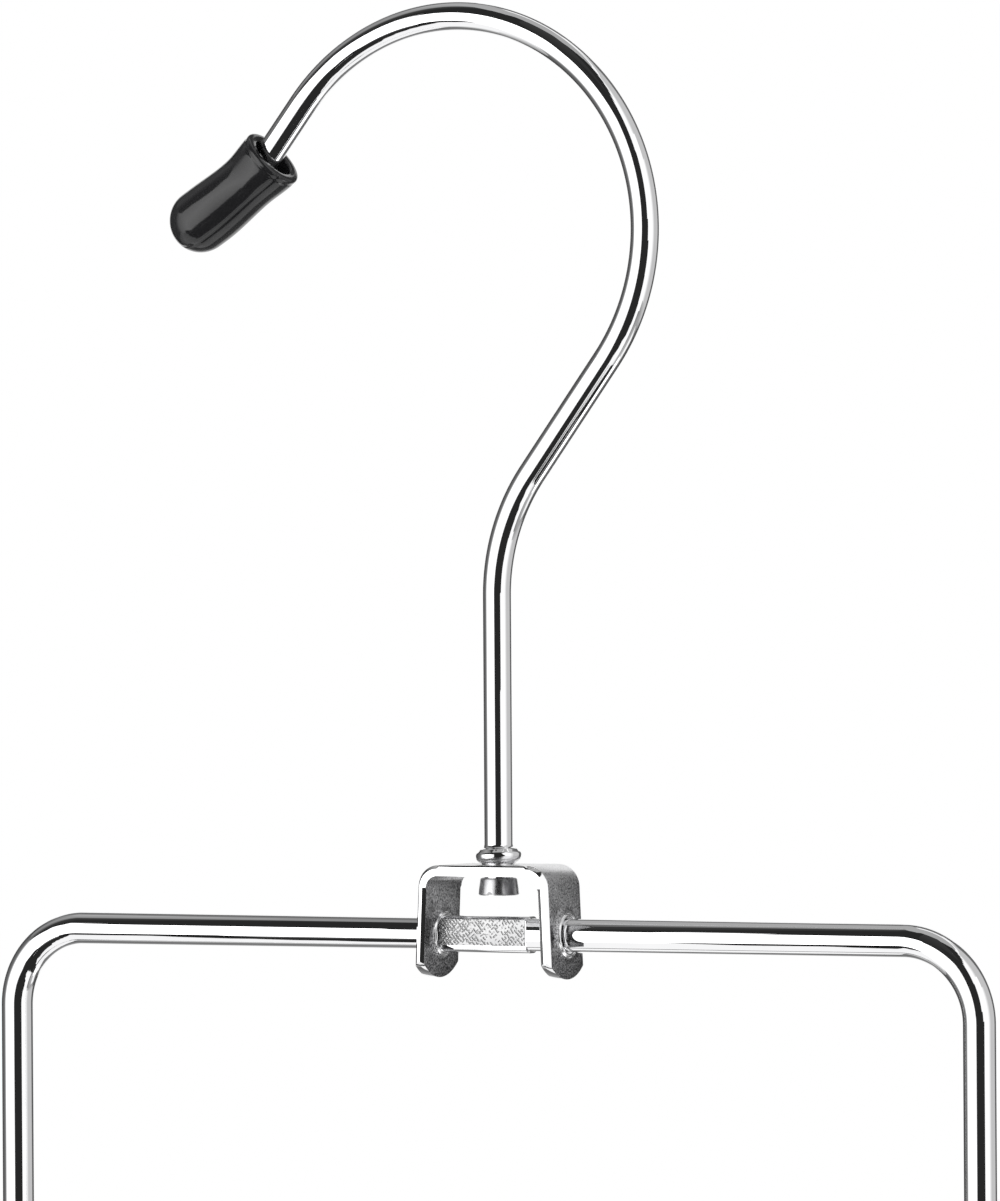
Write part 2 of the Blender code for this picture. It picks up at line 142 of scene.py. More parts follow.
class Graph:
    """The node tree of one material or of the world."""

    def __init__(self, owner: bpy.types.Material | bpy.types.World) -> None:
        """Takes up the nodes that a new material or world starts with.

        Args:
            owner: The material or the world.
        """
        owner.use_nodes = True
        self.owner = owner
        self.tree = owner.node_tree
        self.nodes = self.tree.nodes

    @cached_property
    def place(self) -> bpy.types.NodeSocket:
        """The piece's own coordinates."""
        return self.add("ShaderNodeTexCoord", {}, {}).outputs["Object"]

    def add(self, kind: str, settings: dict[str, Any], sockets: dict[Any, Any]) -> bpy.types.Node:
        """Adds a node.

        Args:
            kind: The node's type.
            settings: Its attributes, set first.
            sockets: Its inputs by name or number, each a Value, a socket to link or a plain value.

        Returns:
            The node.
        """
        node = self.nodes.new(kind)
        for key, value in settings.items():
            setattr(node, key, value)
        for key, value in sockets.items():
            self.feed(node.inputs[key], value)
        return node

    def feed(self, socket: bpy.types.NodeSocket, value: Any) -> None:
        """Links or sets an input socket.

        Args:
            socket: The socket.
            value: A Value, a socket to link or a plain value.
        """
        if isinstance(value, Value):
            self.tree.links.new(value.socket, socket)
        elif isinstance(value, bpy.types.NodeSocket):
            self.tree.links.new(value, socket)
        else:
            socket.default_value = value

    def noise(self, scale: float, detail: float = 2.0) -> Value:
        """Noise about 0.5 over the piece.

        Args:
            scale: Cells in a metre.
            detail: Octaves of finer noise.

        Returns:
            The noise.
        """
        sockets = {"Vector": self.place, "Scale": scale, "Detail": detail}
        return Value(self, self.add("ShaderNodeTexNoise", {}, sockets).outputs[0])

    def ramp(self, value: Value, stops: Sequence[tuple[float, float]]) -> Value:
        """Maps a value through a grey ramp.

        Args:
            value: The value, in 0 to 1.
            stops: The ramp's (place, level) stops, in order.

        Returns:
            The ramp's level.
        """
        node = self.add("ShaderNodeValToRGB", {}, {"Fac": value})
        band = node.color_ramp
        while len(band.elements) < len(stops):
            band.elements.new(0.5)
        for element, (where, level) in zip(band.elements, stops):
            element.position = where
            element.color = (level, level, level, 1.0)
        return Value(self, node.outputs[0])

    def blend(self, factor: Value, first: Sequence[float], second: Sequence[float]) -> Any:
        """The socket of two colours mixed by a factor."""
        node = self.add("ShaderNodeMix", {"data_type": "RGBA"}, {0: factor, 6: (*first, 1), 7: (*second, 1)})
        return node.outputs[2]

    def bump(self, height: Value, depth: float, strength: float, under: Any = None) -> Any:
        """Raises a surface in the shading.

        Args:
            height: The height, in 0 to 1.
            depth: What a height of 1 stands for.
            strength: The node's strength.
            under: The normal that it starts from, if that isn't the mesh's own.

        Returns:
            The normal's socket.
        """
        sockets = {"Height": height, "Distance": depth, "Strength": strength}
        if under is not None:
            sockets["Normal"] = under
        return self.add("ShaderNodeBump", {}, sockets).outputs[0]

    def finish(self, **inputs: Any) -> bpy.types.Material:
        """Feeds the material's Principled shader.

        Args:
            **inputs: What each socket gets, by its name with underscores for spaces.

        Returns:
            The material.
        """
        shader = self.nodes["Principled BSDF"]
        for key, value in inputs.items():
            self.feed(shader.inputs[key.replace("_", " ")], value)
        return self.owner


# Finishes


@dataclass(frozen=True)
class PolishedChrome:
    """Mirror plating on drawn wire, with faint waviness and a few dull patches."""

    name: str = "polished_chrome"
    colour: tuple[float, float, float] = (0.95, 0.95, 0.955)
    shade: tuple[float, float, float] = (0.9, 0.9, 0.91)
    roughness: float = 0.012
    dullness: float = 0.02
    patch_scale: float = 260.0
    wave_scale: float = 120.0
    wave_depth: float = 0.03 * MM
    grain_scale: float = 2500.0
    grain_depth: float = 0.0008 * MM

    def material(self) -> bpy.types.Material:
        """Builds the material.

        Returns:
            The material.
        """
        graph = Graph(bpy.data.materials.new(self.name))
        patches = graph.noise(self.patch_scale, detail=3.0)
        waves = graph.bump(graph.noise(self.wave_scale, detail=1.0), self.wave_depth, strength=0.3)
        grain = graph.bump(graph.noise(self.grain_scale), self.grain_depth, strength=0.4, under=waves)
        return graph.finish(
            Base_Color=graph.blend(patches, self.colour, self.shade),
            Metallic=1.0,
            Roughness=self.roughness + self.dullness * patches,
            Normal=grain,
        )


@dataclass(frozen=True)
class SatinPlate:
    """Plated sheet with the grain of the rolled steel under it, with a painted highlight on the bend at the
    top and painted shade darker towards the lobes.
    """

    light: tuple[float, float, float] = (0.95, 0.95, 0.96)
    dark: tuple[float, float, float] = (0.08, 0.08, 0.085)
    roughness: float = 0.22
    spread: float = 0.2
    grain_scale: float = 5000.0
    grain_depth: float = 0.03 * MM
    grain_share: float = 1.9
    cloud_scale: float = 420.0
    cloud_share: float = 0.25
    # The heights over which the painted light runs, from the top bend down to the lobes.
    top: float = -0.101
    bottom: float = -0.117
    # Levels by height: painted shade darkening down the lobes, and a painted highlight on the bend at the
    # top.
    painted_light_tones: tuple[tuple[float, float], ...] = (
        (0.0, 0.08), (0.3, 0.22), (0.55, 0.36), (0.84, 0.4), (0.88, 0.62), (0.91, 1.0),
    )

    def material(self) -> bpy.types.Material:
        """Builds the material.

        Returns:
            The material.
        """
        graph = Graph(bpy.data.materials.new("satin_plate_painted_light"))
        grain = graph.noise(self.grain_scale, detail=1.5)
        clouds = graph.noise(self.cloud_scale, detail=3.0)
        height = graph.add("ShaderNodeSeparateXYZ", {}, {0: graph.place}).outputs[2]
        share = (Value(graph, height) - self.bottom) * (1.0 / (self.top - self.bottom))
        # Painted shade and painted highlight by height, then random cloud and grain tone on top.
        tone = graph.ramp(share, self.painted_light_tones)
        tone = tone + (clouds - 0.5) * self.cloud_share + (grain - 0.5) * self.grain_share
        normal = graph.bump(grain, self.grain_depth, strength=0.6)
        return graph.finish(
            Base_Color=graph.blend(tone, self.dark, self.light),
            Metallic=1.0,
            Roughness=self.roughness + self.spread * grain,
            Normal=normal,
        )


@dataclass(frozen=True)
class BlackVinyl:
    """Dipped black vinyl: near black, glossy, with a slow unevenness in its skin."""

    colour: tuple[float, float, float] = (0.011, 0.011, 0.012)
    dusty: tuple[float, float, float] = (0.02, 0.02, 0.021)
    roughness: float = 0.07
    spread: float = 0.07
    cloud_scale: float = 300.0
    skin_scale: float = 210.0
    skin_depth: float = 0.2 * MM
    pore_scale: float = 4200.0
    pore_depth: float = 0.002 * MM

    def material(self) -> bpy.types.Material:
        """Builds the material.

        Returns:
            The material.
        """
        graph = Graph(bpy.data.materials.new("black_vinyl_gloss"))
        clouds = graph.noise(self.cloud_scale, detail=3.0)
        skin = graph.bump(graph.noise(self.skin_scale, detail=1.0), self.skin_depth, strength=0.3)
        pores = graph.bump(graph.noise(self.pore_scale), self.pore_depth, strength=0.4, under=skin)
        return graph.finish(
            Base_Color=graph.blend(clouds, self.colour, self.dusty),
            Roughness=self.roughness + self.spread * clouds,
            Normal=pores,
            Specular_IOR_Level=0.5,
        )


def coat(finish: type, **changes: Any) -> Any:
    """A dataclass field that holds the material of a finish with some of its values changed."""
    return field(default_factory=lambda: finish(**changes).material())


@dataclass(frozen=True)
class Finishes:
    """The materials that the pieces share."""

    chrome: bpy.types.Material = coat(PolishedChrome)
    edge: bpy.types.Material = coat(
        PolishedChrome, name="sheared_edge_chrome", roughness=0.02, dullness=0.07, grain_depth=0.002 * MM
    )
    coined: bpy.types.Material = coat(
        PolishedChrome, name="coined_chrome", roughness=0.1, dullness=0.12, grain_depth=0.002 * MM
    )
    peened: bpy.types.Material = coat(
        PolishedChrome, name="peened_chrome", colour=(0.68, 0.68, 0.69), shade=(0.34, 0.34, 0.35),
        roughness=0.16, dullness=0.2, wave_scale=900.0, wave_depth=0.07 * MM, grain_depth=0.003 * MM,
    )
    # Darker than the other chrome: painted shade that stands in for the dark reflections that the knurling's
    # fine relief catches.
    knurled: bpy.types.Material = coat(
        PolishedChrome, name="knurled_chrome_painted_shade", colour=(0.46, 0.46, 0.46), shade=(0.3, 0.3, 0.305),
        roughness=0.12, dullness=0.16, wave_scale=2600.0, wave_depth=0.02 * MM, grain_depth=0.003 * MM,
    )
    plated: bpy.types.Material = coat(SatinPlate)
    vinyl: bpy.types.Material = coat(BlackVinyl)


# Modelling by hand


def choose(piece: bpy.types.Object, wanted: Callable[[Vector], bool]) -> None:
    """Selects the vertices of the piece in edit mode that a test wants, and no others.

    Args:
        piece: The object being edited.
        wanted: A test on a vertex's place in the piece's own coordinates.
    """
    bpy.ops.mesh.select_mode(type="VERT")
    bpy.ops.mesh.select_all(action="DESELECT")
    bpy.ops.object.mode_set(mode="OBJECT")
    for vertex in piece.data.vertices:
        vertex.select = wanted(vertex.co)
    bpy.ops.object.mode_set(mode="EDIT")
    bpy.ops.mesh.select_mode(type="VERT")


def choose_open_edges() -> None:
    """Selects the open edges of the piece in edit mode, and nothing else."""
    bpy.ops.mesh.select_mode(type="EDGE")
    bpy.ops.mesh.select_all(action="DESELECT")
    bpy.ops.mesh.select_non_manifold(
        extend=False, use_wire=False, use_boundary=True, use_multi_face=False,
        use_non_contiguous=False, use_verts=False,
    )


def face_outwards() -> None:
    """Turns every face of the piece in edit mode outwards."""
    bpy.ops.mesh.select_all(action="SELECT")
    bpy.ops.mesh.normals_make_consistent(inside=False)


def pick(piece: bpy.types.Object) -> None:
    """Selects one piece and nothing else, and makes it the active one.

    Args:
        piece: The piece.
    """
    bpy.ops.object.select_all(action="DESELECT")
    piece.select_set(True)
    bpy.context.view_layer.objects.active = piece


def added(primitive: Callable[..., Any], **settings: Any) -> bpy.types.Object:
    """Adds a primitive with nothing else selected.

    Args:
        primitive: The operator that adds it.
        **settings: The operator's settings.

    Returns:
        The new object.
    """
    bpy.ops.object.select_all(action="DESELECT")
    primitive(**settings)
    return bpy.context.object


def settle(piece: bpy.types.Object) -> bpy.types.Object:
    """Leaves edit mode and puts the piece's place, turn and size into its mesh.

    Args:
        piece: The piece.

    Returns:
        The piece.
    """
    if bpy.context.mode != "OBJECT":
        bpy.ops.object.mode_set(mode="OBJECT")
    pick(piece)
    bpy.ops.object.transform_apply(location=True, rotation=True, scale=True)
    return piece


def apply(piece: bpy.types.Object, kind: str, **settings: Any) -> None:
    """Adds a modifier and applies it.

    Args:
        piece: The piece.
        kind: The modifier's type.
        **settings: The modifier's settings.
    """
    pick(piece)
    modifier = piece.modifiers.new(kind.title(), kind)
    for key, value in settings.items():
        setattr(modifier, key, value)
    bpy.ops.object.modifier_apply(modifier=modifier.name)


def carve(piece: bpy.types.Object, tool: bpy.types.Object, how: Carve) -> None:
    """Applies a Boolean of the tool to the piece and removes the tool."""
    apply(piece, "BOOLEAN", operation=how.value, object=tool, solver="EXACT")
    bpy.data.objects.remove(tool)


def reorder(piece: bpy.types.Object) -> None:
    """Puts a piece's corners, edges and faces in one order, which a Boolean leaves to chance.

    Args:
        piece: The piece.
    """
    pick(piece)
    bpy.context.scene.cursor.location = LOPSIDED
    bpy.ops.object.mode_set(mode="EDIT")
    bpy.ops.mesh.select_mode(type="VERT")
    bpy.ops.mesh.select_all(action="SELECT")
    bpy.ops.mesh.sort_elements(type="CURSOR_DISTANCE", elements={"VERT", "EDGE", "FACE"})
    bpy.ops.object.mode_set(mode="OBJECT")
    bpy.context.scene.cursor.location = (0.0, 0.0, 0.0)


def soften(piece: bpy.types.Object, width: float, segments: int, degrees: float) -> None:
    """Rounds a piece's edges.

    Args:
        piece: The piece.
        width: The rounding's width.
        segments: Its steps.
        degrees: The angle past which an edge is rounded.
    """
    apply(
        piece, "BEVEL", width=width, segments=segments, limit_method="ANGLE",
        angle_limit=math.radians(degrees), use_clamp_overlap=True,
    )


def smooth(piece: bpy.types.Object, degrees: float) -> None:
    """Shades a piece smooth, with edges sharper than the angle kept crisp."""
    pick(piece)
    bpy.ops.object.shade_smooth_by_angle(angle=math.radians(degrees))


def block(size: Sequence[float], place: Sequence[float]) -> bpy.types.Object:
    """Adds a box and leaves it in edit mode with everything selected.

    Args:
        size: Its size along each axis.
        place: Its middle.

    Returns:
        The box.
    """
    piece = settle(added(bpy.ops.mesh.primitive_cube_add, size=1.0, location=place, scale=size))
    bpy.ops.object.mode_set(mode="EDIT")
    bpy.ops.mesh.select_all(action="SELECT")
    return piece


def dress(
    piece: bpy.types.Object,
    body: Body,
    material: bpy.types.Material,
    nodes: Iterable[str] = (),
    other: tuple[bpy.types.Material, Callable[[Vector, Vector], bool]] | None = None,
) -> None:
    """Gives a finished piece its material, its body and the nodes that it stands for.

    Args:
        piece: The piece, at the origin.
        body: The body that it rides on.
        material: Its material.
        nodes: The nodes that it replaces.
        other: A second material, and a test on a face's centre and normal for where it goes.
    """
    piece.data.materials.clear()
    piece.data.materials.append(material)
    if other is not None:
        second, wanted = other
        piece.data.materials.append(second)
        for face in piece.data.polygons:
            face.material_index = int(wanted(face.center, face.normal))
    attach(piece, body.value)
    for node in nodes:
        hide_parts(node)
    log.info("%s rides on %s: %d faces", piece.name, body.value, len(piece.data.polygons))


class Drawn:
    """A bar drawn ring by ring in edit mode in the plane y = 0, as a wire is fed and bent."""

    def __init__(self, name: str, here: Vector, heading: float, radius: float, sides: int) -> None:
        """Starts with one round ring, square to the heading.

        Args:
            name: The piece's name.
            here: The ring's centre.
            heading: The way it will be drawn, from +X towards +Z.
            radius: The ring's radius.
            sides: Its corners.
        """
        ring = added(bpy.ops.mesh.primitive_circle_add, vertices=sides, radius=radius, fill_type="NOTHING")
        self.take(ring, name, here, heading)
        self.radius = radius

    def take(self, ring: bpy.types.Object, name: str, here: Vector, heading: float) -> None:
        """Puts the first ring at its place and enters edit mode on it.

        Args:
            ring: The ring, flat at the origin.
            name: The piece's name.
            here: The ring's centre.
            heading: The way it will be drawn.
        """
        self.piece = ring
        self.piece.name = name
        self.piece.data.name = name
        self.here = Vector(here)
        self.heading = heading
        self.piece.location = here
        self.piece.rotation_euler.y = math.pi / 2 - heading
        settle(self.piece)
        bpy.ops.object.mode_set(mode="EDIT")
        bpy.ops.mesh.select_all(action="SELECT")

    def along(self) -> Vector:
        """The heading as a vector."""
        return Vector((math.cos(self.heading), 0.0, math.sin(self.heading)))

    def left(self) -> Vector:
        """Square to the heading, on its left as seen from the front."""
        return Vector((-math.sin(self.heading), 0.0, math.cos(self.heading)))

    def ahead(self, length: float, radius: float | None = None) -> None:
        """Draws straight on.

        Args:
            length: How far.
            radius: The bar's radius after it, if it changes.
        """
        step = self.along() * length
        bpy.ops.mesh.extrude_region_move(TRANSFORM_OT_translate={"value": step})
        self.here += step
        self.widen(radius)

    def widen(self, radius: float | None) -> None:
        """Resizes the last ring.

        Args:
            radius: Its new radius, or None to leave it.
        """
        if radius is not None and radius != self.radius:
            ratio = radius / self.radius
            bpy.ops.transform.resize(value=(ratio, ratio, ratio), center_override=self.here)
            self.radius = radius

    def bend(self, bend_radius: float, angle: float, step: float, radius: float | None = None) -> None:
        """Draws a bend.

        Args:
            bend_radius: To the bar's centre line.
            angle: Positive to the left as seen from the front.
            step: The largest angle between rings.
            radius: The bar's radius after it, if it changes.
        """
        side = math.copysign(1.0, angle)
        centre = self.here + self.left() * bend_radius * side
        steps = max(1, math.ceil(abs(angle) / step - ROUNDING))
        bpy.ops.mesh.spin(steps=steps, angle=angle, center=centre, axis=ACROSS)
        self.here = centre + Matrix.Rotation(-angle, 3, "Y") @ (self.here - centre)
        self.heading += angle
        self.widen(radius)

    def follow(self, profile: Iterable[tuple[float, float]]) -> None:
        """Draws straight through a profile.

        Args:
            profile: (distance, radius) pairs, with distances from the ring that it starts at.
        """
        covered = 0.0
        for distance, radius in profile:
            self.ahead(distance - covered, radius)
            covered = distance

    def return_to(self, here: Vector, heading: float, radius: float) -> None:
        """Goes back to the one open ring that is left, to draw on from it.

        Args:
            here: The ring's centre.
            heading: The way it will be drawn on.
            radius: The ring's radius.
        """
        choose_open_edges()
        self.here = Vector(here)
        self.heading = heading
        self.radius = radius

    def cap_ring(self) -> None:
        """Closes the ring just drawn with one face."""
        bpy.ops.mesh.edge_face_add()

    def done(self) -> bpy.types.Object:
        """Closes what is open, turns the faces outwards and settles the piece.

        Returns:
            The finished piece.
        """
        bpy.ops.mesh.select_mode(type="VERT")
        bpy.ops.mesh.select_all(action="SELECT")
        bpy.ops.mesh.remove_doubles(threshold=SAME_PLACE)
        choose_open_edges()
        bpy.ops.mesh.fill_holes(sides=0)
        face_outwards()
        return settle(self.piece)


class Strip(Drawn):
    """A strip sheared from sheet, drawn the same way, with a flat pressed along each of its corners."""

    first_flat: float = 0.05 * MM
    hair: float = 0.01 * MM

    def __init__(self, name: str, here: Vector, heading: float, width: float, sheet: float) -> None:
        """Starts with one ring of the strip's section.

        Args:
            name: The piece's name.
            here: The ring's centre.
            heading: The way it will be drawn, with its outer side on the left.
            width: The strip's width, along Y.
            sheet: Its thickness.
        """
        ring = added(bpy.ops.mesh.primitive_plane_add, size=1.0)
        ring.scale = (sheet, width, 1.0)
        settle(ring)
        bpy.ops.object.mode_set(mode="EDIT")
        bpy.ops.mesh.select_mode(type="VERT")
        bpy.ops.mesh.select_all(action="SELECT")
        bpy.ops.mesh.bevel(offset=self.first_flat, segments=1, affect="VERTICES")
        bpy.ops.mesh.select_all(action="SELECT")
        bpy.ops.mesh.delete(type="ONLY_FACE")
        bpy.ops.object.mode_set(mode="OBJECT")
        self.take(ring, name, here, heading)
        self.radius = width
        self.sheet = sheet

    def press(self, outer: tuple[float, float], inner: tuple[float, float]) -> None:
        """Presses new flats on the corners of the last ring.

        Args:
            outer: The outer flats' reach along the thickness and along the width.
            inner: The inner flats' reach, the same way.
        """
        bpy.ops.mesh.select_mode(type="VERT")
        bpy.ops.object.mode_set(mode="OBJECT")
        for vertex in self.piece.data.vertices:
            if not vertex.select:
                continue
            rise = (vertex.co - self.here).dot(self.left())
            thick, wide = outer if rise > 0.0 else inner
            if abs(vertex.co.y) > self.radius / 2 - self.hair:
                wanted = math.copysign(self.sheet / 2 - thick, rise)
                vertex.co += self.left() * (wanted - rise)
            else:
                vertex.co.y = math.copysign(self.radius / 2 - wide, vertex.co.y)
        bpy.ops.object.mode_set(mode="EDIT")


def eased(stations: Sequence[tuple[float, float]], distance: float) -> float:
    """Eases a value from one station to the next.

    Args:
        stations: (distance, value) pairs, in order.
        distance: Where the value is wanted.

    Returns:
        The value.
    """
    for (start, first), (end, second) in zip(stations, stations[1:]):
        if distance <= end:
            share = max(0.0, (distance - start) / (end - start))
            return first + (second - first) * (1.0 - math.cos(math.pi * share)) / 2
    return stations[-1][1]


def quarter(radius: float, depth: float, steps: int) -> list[tuple[float, float]]:
    """A quarter round from a small end to the full radius, as (distance, radius) pairs.

    Args:
        radius: The full radius at the end.
        depth: The rounding's radius.
        steps: How many pairs.

    Returns:
        The pairs, with distances from the small end.
    """
    turns = [math.pi / 2 * (index + 1) / steps for index in range(steps)]
    return [(depth * (1 - math.cos(turn)), radius - depth + depth * math.sin(turn)) for turn in turns]


# Sub-assemblies


@dataclass
class HookWire:
    """The hook: peened foot, collar bead, shaft, easing, diagonal, crown and tip."""

    plate_top: float
    finishes: Finishes
    wire: float = 3.5 * MM
    shaft: float = 32.8 * MM
    easing_radius: float = 24.7 * MM
    easing: float = math.radians(37.0)
    diagonal: float = 17.0 * MM
    crown_radius: float = 26.5 * MM
    crown: float = math.radians(178.7)
    bare_tip: float = 7.5 * MM
    tip_in_cap: float = 6.0 * MM
    seat_gap: float = 0.3 * MM
    sunk: float = 0.2 * MM
    sheet: float = 1.3 * MM
    collar: float = 5.66 * MM
    collar_lean: float = 0.045
    collar_height: float = 2.1 * MM
    head: float = 4.95 * MM
    head_neck: float = 4.5 * MM
    head_height: float = 1.9 * MM
    head_rim: float = 0.12 * MM
    dish: float = 3.2 * MM
    dish_floor: float = 1.0 * MM
    dish_depth: float = 0.6 * MM
    groove_depth: float = 0.45 * MM
    tip_rounding: float = 0.4 * MM
    sides: int = 56
    fine: float = math.radians(1.0)
    mouth: Vector = field(default_factory=Vector)
    heading: float = 0.0

    def foot(self) -> list[tuple[float, float]]:
        """Works out the foot's profile, from the dish up to the shaft.

        Returns:
            Pairs of a height over the plate's top and a radius.
        """
        under = -self.sheet - self.seat_gap
        bottom = self.bottom()
        base = self.seat_gap - self.sunk
        neck = self.wire / 2
        rim = self.head_rim
        straight = 0.7 * MM
        draft = 0.05 * MM
        chamfer = 0.15 * MM
        rows = [(bottom + rim / 2, self.dish / 2), (bottom, self.dish / 2 + rim)]
        rows += [(bottom, self.head / 2 - rim), (bottom + rim, self.head / 2)]
        rows += [(bottom + straight, self.head / 2 - draft), (under - chamfer, self.head_neck / 2)]
        rows += [(under, self.head_neck / 2 - chamfer), (under, neck), (base, neck)]
        widest = self.collar / 2
        slopes = [(0.0, 0.78), (0.1, 0.71), (0.2, 0.53), (0.3, 0.38), (0.45, 0.21), (0.6, 0.1), (0.8, 0.03)]
        slopes += [(1.05, 0.0), (1.2, 0.01), (1.35, 0.06), (1.45, 0.14), (1.6, 0.31), (1.75, 0.41)]
        slopes += [(1.83, 0.5), (1.9, 0.68), (1.96, 0.85), (2.05, 0.96), (2.2, 1.03)]
        rows += [(base + height * MM, widest - inset * MM) for height, inset in slopes]
        rows += [(base + self.collar_height + 0.3 * MM, neck)]
        return rows

    def bottom(self) -> float:
        """The head's underside, as a height over the plate's top."""
        return -self.sheet - self.seat_gap - self.sunk - self.head_height

    def lean(self, piece: bpy.types.Object) -> None:
        """Leans the collar a little to one side.

        Args:
            piece: The hook.
        """
        bare = self.wire / 2 + 0.01 * MM
        top = self.plate_top + self.collar_height + self.seat_gap
        for vertex in piece.data.vertices:
            if self.plate_top < vertex.co.z < top and vertex.co.xy.length > bare:
                vertex.co.z += self.collar_lean * vertex.co.x

    def build(self) -> None:
        """Draws the hook from its foot to its tip, and grooves the peened end."""
        start = self.bottom() + self.dish_depth
        bar = Drawn(
            "hook_bent_wire", Vector((0.0, 0.0, self.plate_top + start)), math.pi / 2,
            self.dish_floor / 2, self.sides,
        )
        rows = self.foot()
        bar.follow([(height - start, radius) for height, radius in rows])
        bar.ahead(self.shaft - rows[-1][0])
        bar.bend(self.easing_radius, -self.easing, self.fine)
        bar.ahead(self.diagonal)
        bar.bend(self.crown_radius, self.crown, self.fine)
        bar.ahead(self.bare_tip)
        self.mouth = bar.here.copy()
        self.heading = bar.heading
        bar.ahead(self.tip_in_cap - self.tip_rounding)
        bar.ahead(self.tip_rounding, self.wire / 2 - self.tip_rounding)
        piece = bar.done()
        self.lean(piece)
        self.groove(piece)
        smooth(piece, 35.0)
        under = self.plate_top - self.sheet
        dress(
            piece, Body.HOOK, self.finishes.chrome, ["hook_wire"],
            (self.finishes.peened, lambda centre, _: centre.z < under),
        )

    def groove(self, piece: bpy.types.Object) -> None:
        """Cuts the chisel's shallow V across the peened end.

        Args:
            piece: The hook.
        """
        bottom = self.plate_top + self.bottom()
        half = self.dish / 3
        tool = block((2 * half, 2 * self.head, 2 * self.groove_depth), (0.0, 0.0, bottom))
        choose(tool, lambda co: co.z > bottom)
        bpy.ops.transform.resize(value=(0.1, 1.0, 1.0), center_override=(0.0, 0.0, bottom))
        settle(tool)
        carve(piece, tool, Carve.CUT)


@dataclass
class TipCap:
    """The loose vinyl cap on the hook's tip, with a thick lip, a slight waist and a domed end."""

    hook: HookWire
    finishes: Finishes
    slack: float = 1.0 * MM
    seat_gap: float = 0.3 * MM
    length: float = 16.9 * MM
    hollow: float = 11.5 * MM
    bore: float = 5.5 * MM
    curl: float = math.radians(13.0)
    lip: float = 8.15 * MM
    waist: float = 7.36 * MM
    body: float = 7.9 * MM
    ring_place: float = 0.8 * MM
    ring_width: float = 0.16 * MM
    ring_depth: float = 0.06 * MM
    seam: tuple[float, float, float] = (math.radians(45), math.radians(53), math.radians(55.5))
    seam_depth: float = 0.1 * MM
    long_step: float = 0.25 * MM
    short_step: float = 0.1 * MM
    pole_gap: float = 0.02 * MM
    bore_round: float = 0.35 * MM
    bore_end: float = 0.3 * MM
    sides: int = 160

    def part_line(self, bar: Drawn) -> None:
        """Sinks the mould's parting line into the first ring: a slow slope down and a sharp one back up.

        Args:
            bar: The cap, with its first ring drawn.
        """
        bpy.ops.object.mode_set(mode="OBJECT")
        first, lowest, last = self.seam
        for vertex in bar.piece.data.vertices:
            arm = vertex.co - bar.here
            turn = math.atan2(arm.dot(bar.left()), -arm.y)
            if first < turn < last:
                down, up = (turn - first) / (lowest - first), (last - turn) / (last - lowest)
                share = down if turn < lowest else up
                vertex.co = bar.here + arm * (1 - share * self.seam_depth / bar.radius)
        bpy.ops.object.mode_set(mode="EDIT")

    def radius_at(self, distance: float) -> float:
        """The outer radius along the cap.

        Args:
            distance: How far from the mouth.

        Returns:
            The radius.
        """
        dome = self.body / 2
        past = distance - (self.length - dome)
        if past > 0.0:
            return math.sqrt(max(dome**2 - past**2, 0.0))
        stations = [
            (0.4 * MM, self.lip / 2),
            (5.2 * MM, self.waist / 2),
            (11.6 * MM, self.body / 2),
            (self.length, self.body / 2),
        ]
        ring = self.ring_depth * math.exp(-(((distance - self.ring_place) / self.ring_width) ** 2))
        return eased(stations, distance) - ring

    def build(self) -> None:
        """Draws the outside from the lip to the dome, then the bore from the lip inwards."""
        play = self.slack - self.seat_gap
        tip = self.hook.tip_in_cap
        cock = 2 * play / tip - self.curl * tip / (2 * self.length)
        heading = self.hook.heading - cock
        left = Vector((-math.sin(self.hook.heading), 0.0, math.cos(self.hook.heading)))
        mouth = self.hook.mouth + left * play
        crest = (self.lip / 2 + self.bore / 2) / 2
        curl_radius = self.length / self.curl
        bar = Drawn("hook_tip_vinyl_cap", mouth, heading, crest, self.sides)
        self.part_line(bar)
        rounding = self.lip / 2 - crest
        bar.follow(quarter(self.lip / 2, rounding * 0.55, 5))
        covered = (bar.here - mouth).length
        pole = self.length - self.pole_gap
        while covered < pole - self.pole_gap / 2:
            plain = 1.6 * MM < covered < self.length - 1.2 * MM
            step = self.long_step if plain else self.short_step
            step = min(step, pole - covered)
            covered += step
            bar.bend(curl_radius, -step / curl_radius, math.pi, self.radius_at(covered))
        bar.cap_ring()
        bar.return_to(mouth, heading, crest)
        inner = quarter(self.bore / 2, self.bore_round, 4)
        bar.follow([(depth, self.bore - radius) for depth, radius in inner])
        reached = (bar.here - mouth).length
        bar.bend(curl_radius, -(self.hollow - reached) / curl_radius, math.radians(1.0))
        bar.ahead(self.bore_end, self.bore / 2 - self.bore_end)
        bar.cap_ring()
        piece = bar.done()
        smooth(piece, 50.0)
        dress(piece, Body.HOOK, self.finishes.vinyl, ["hook_tip_cap"])


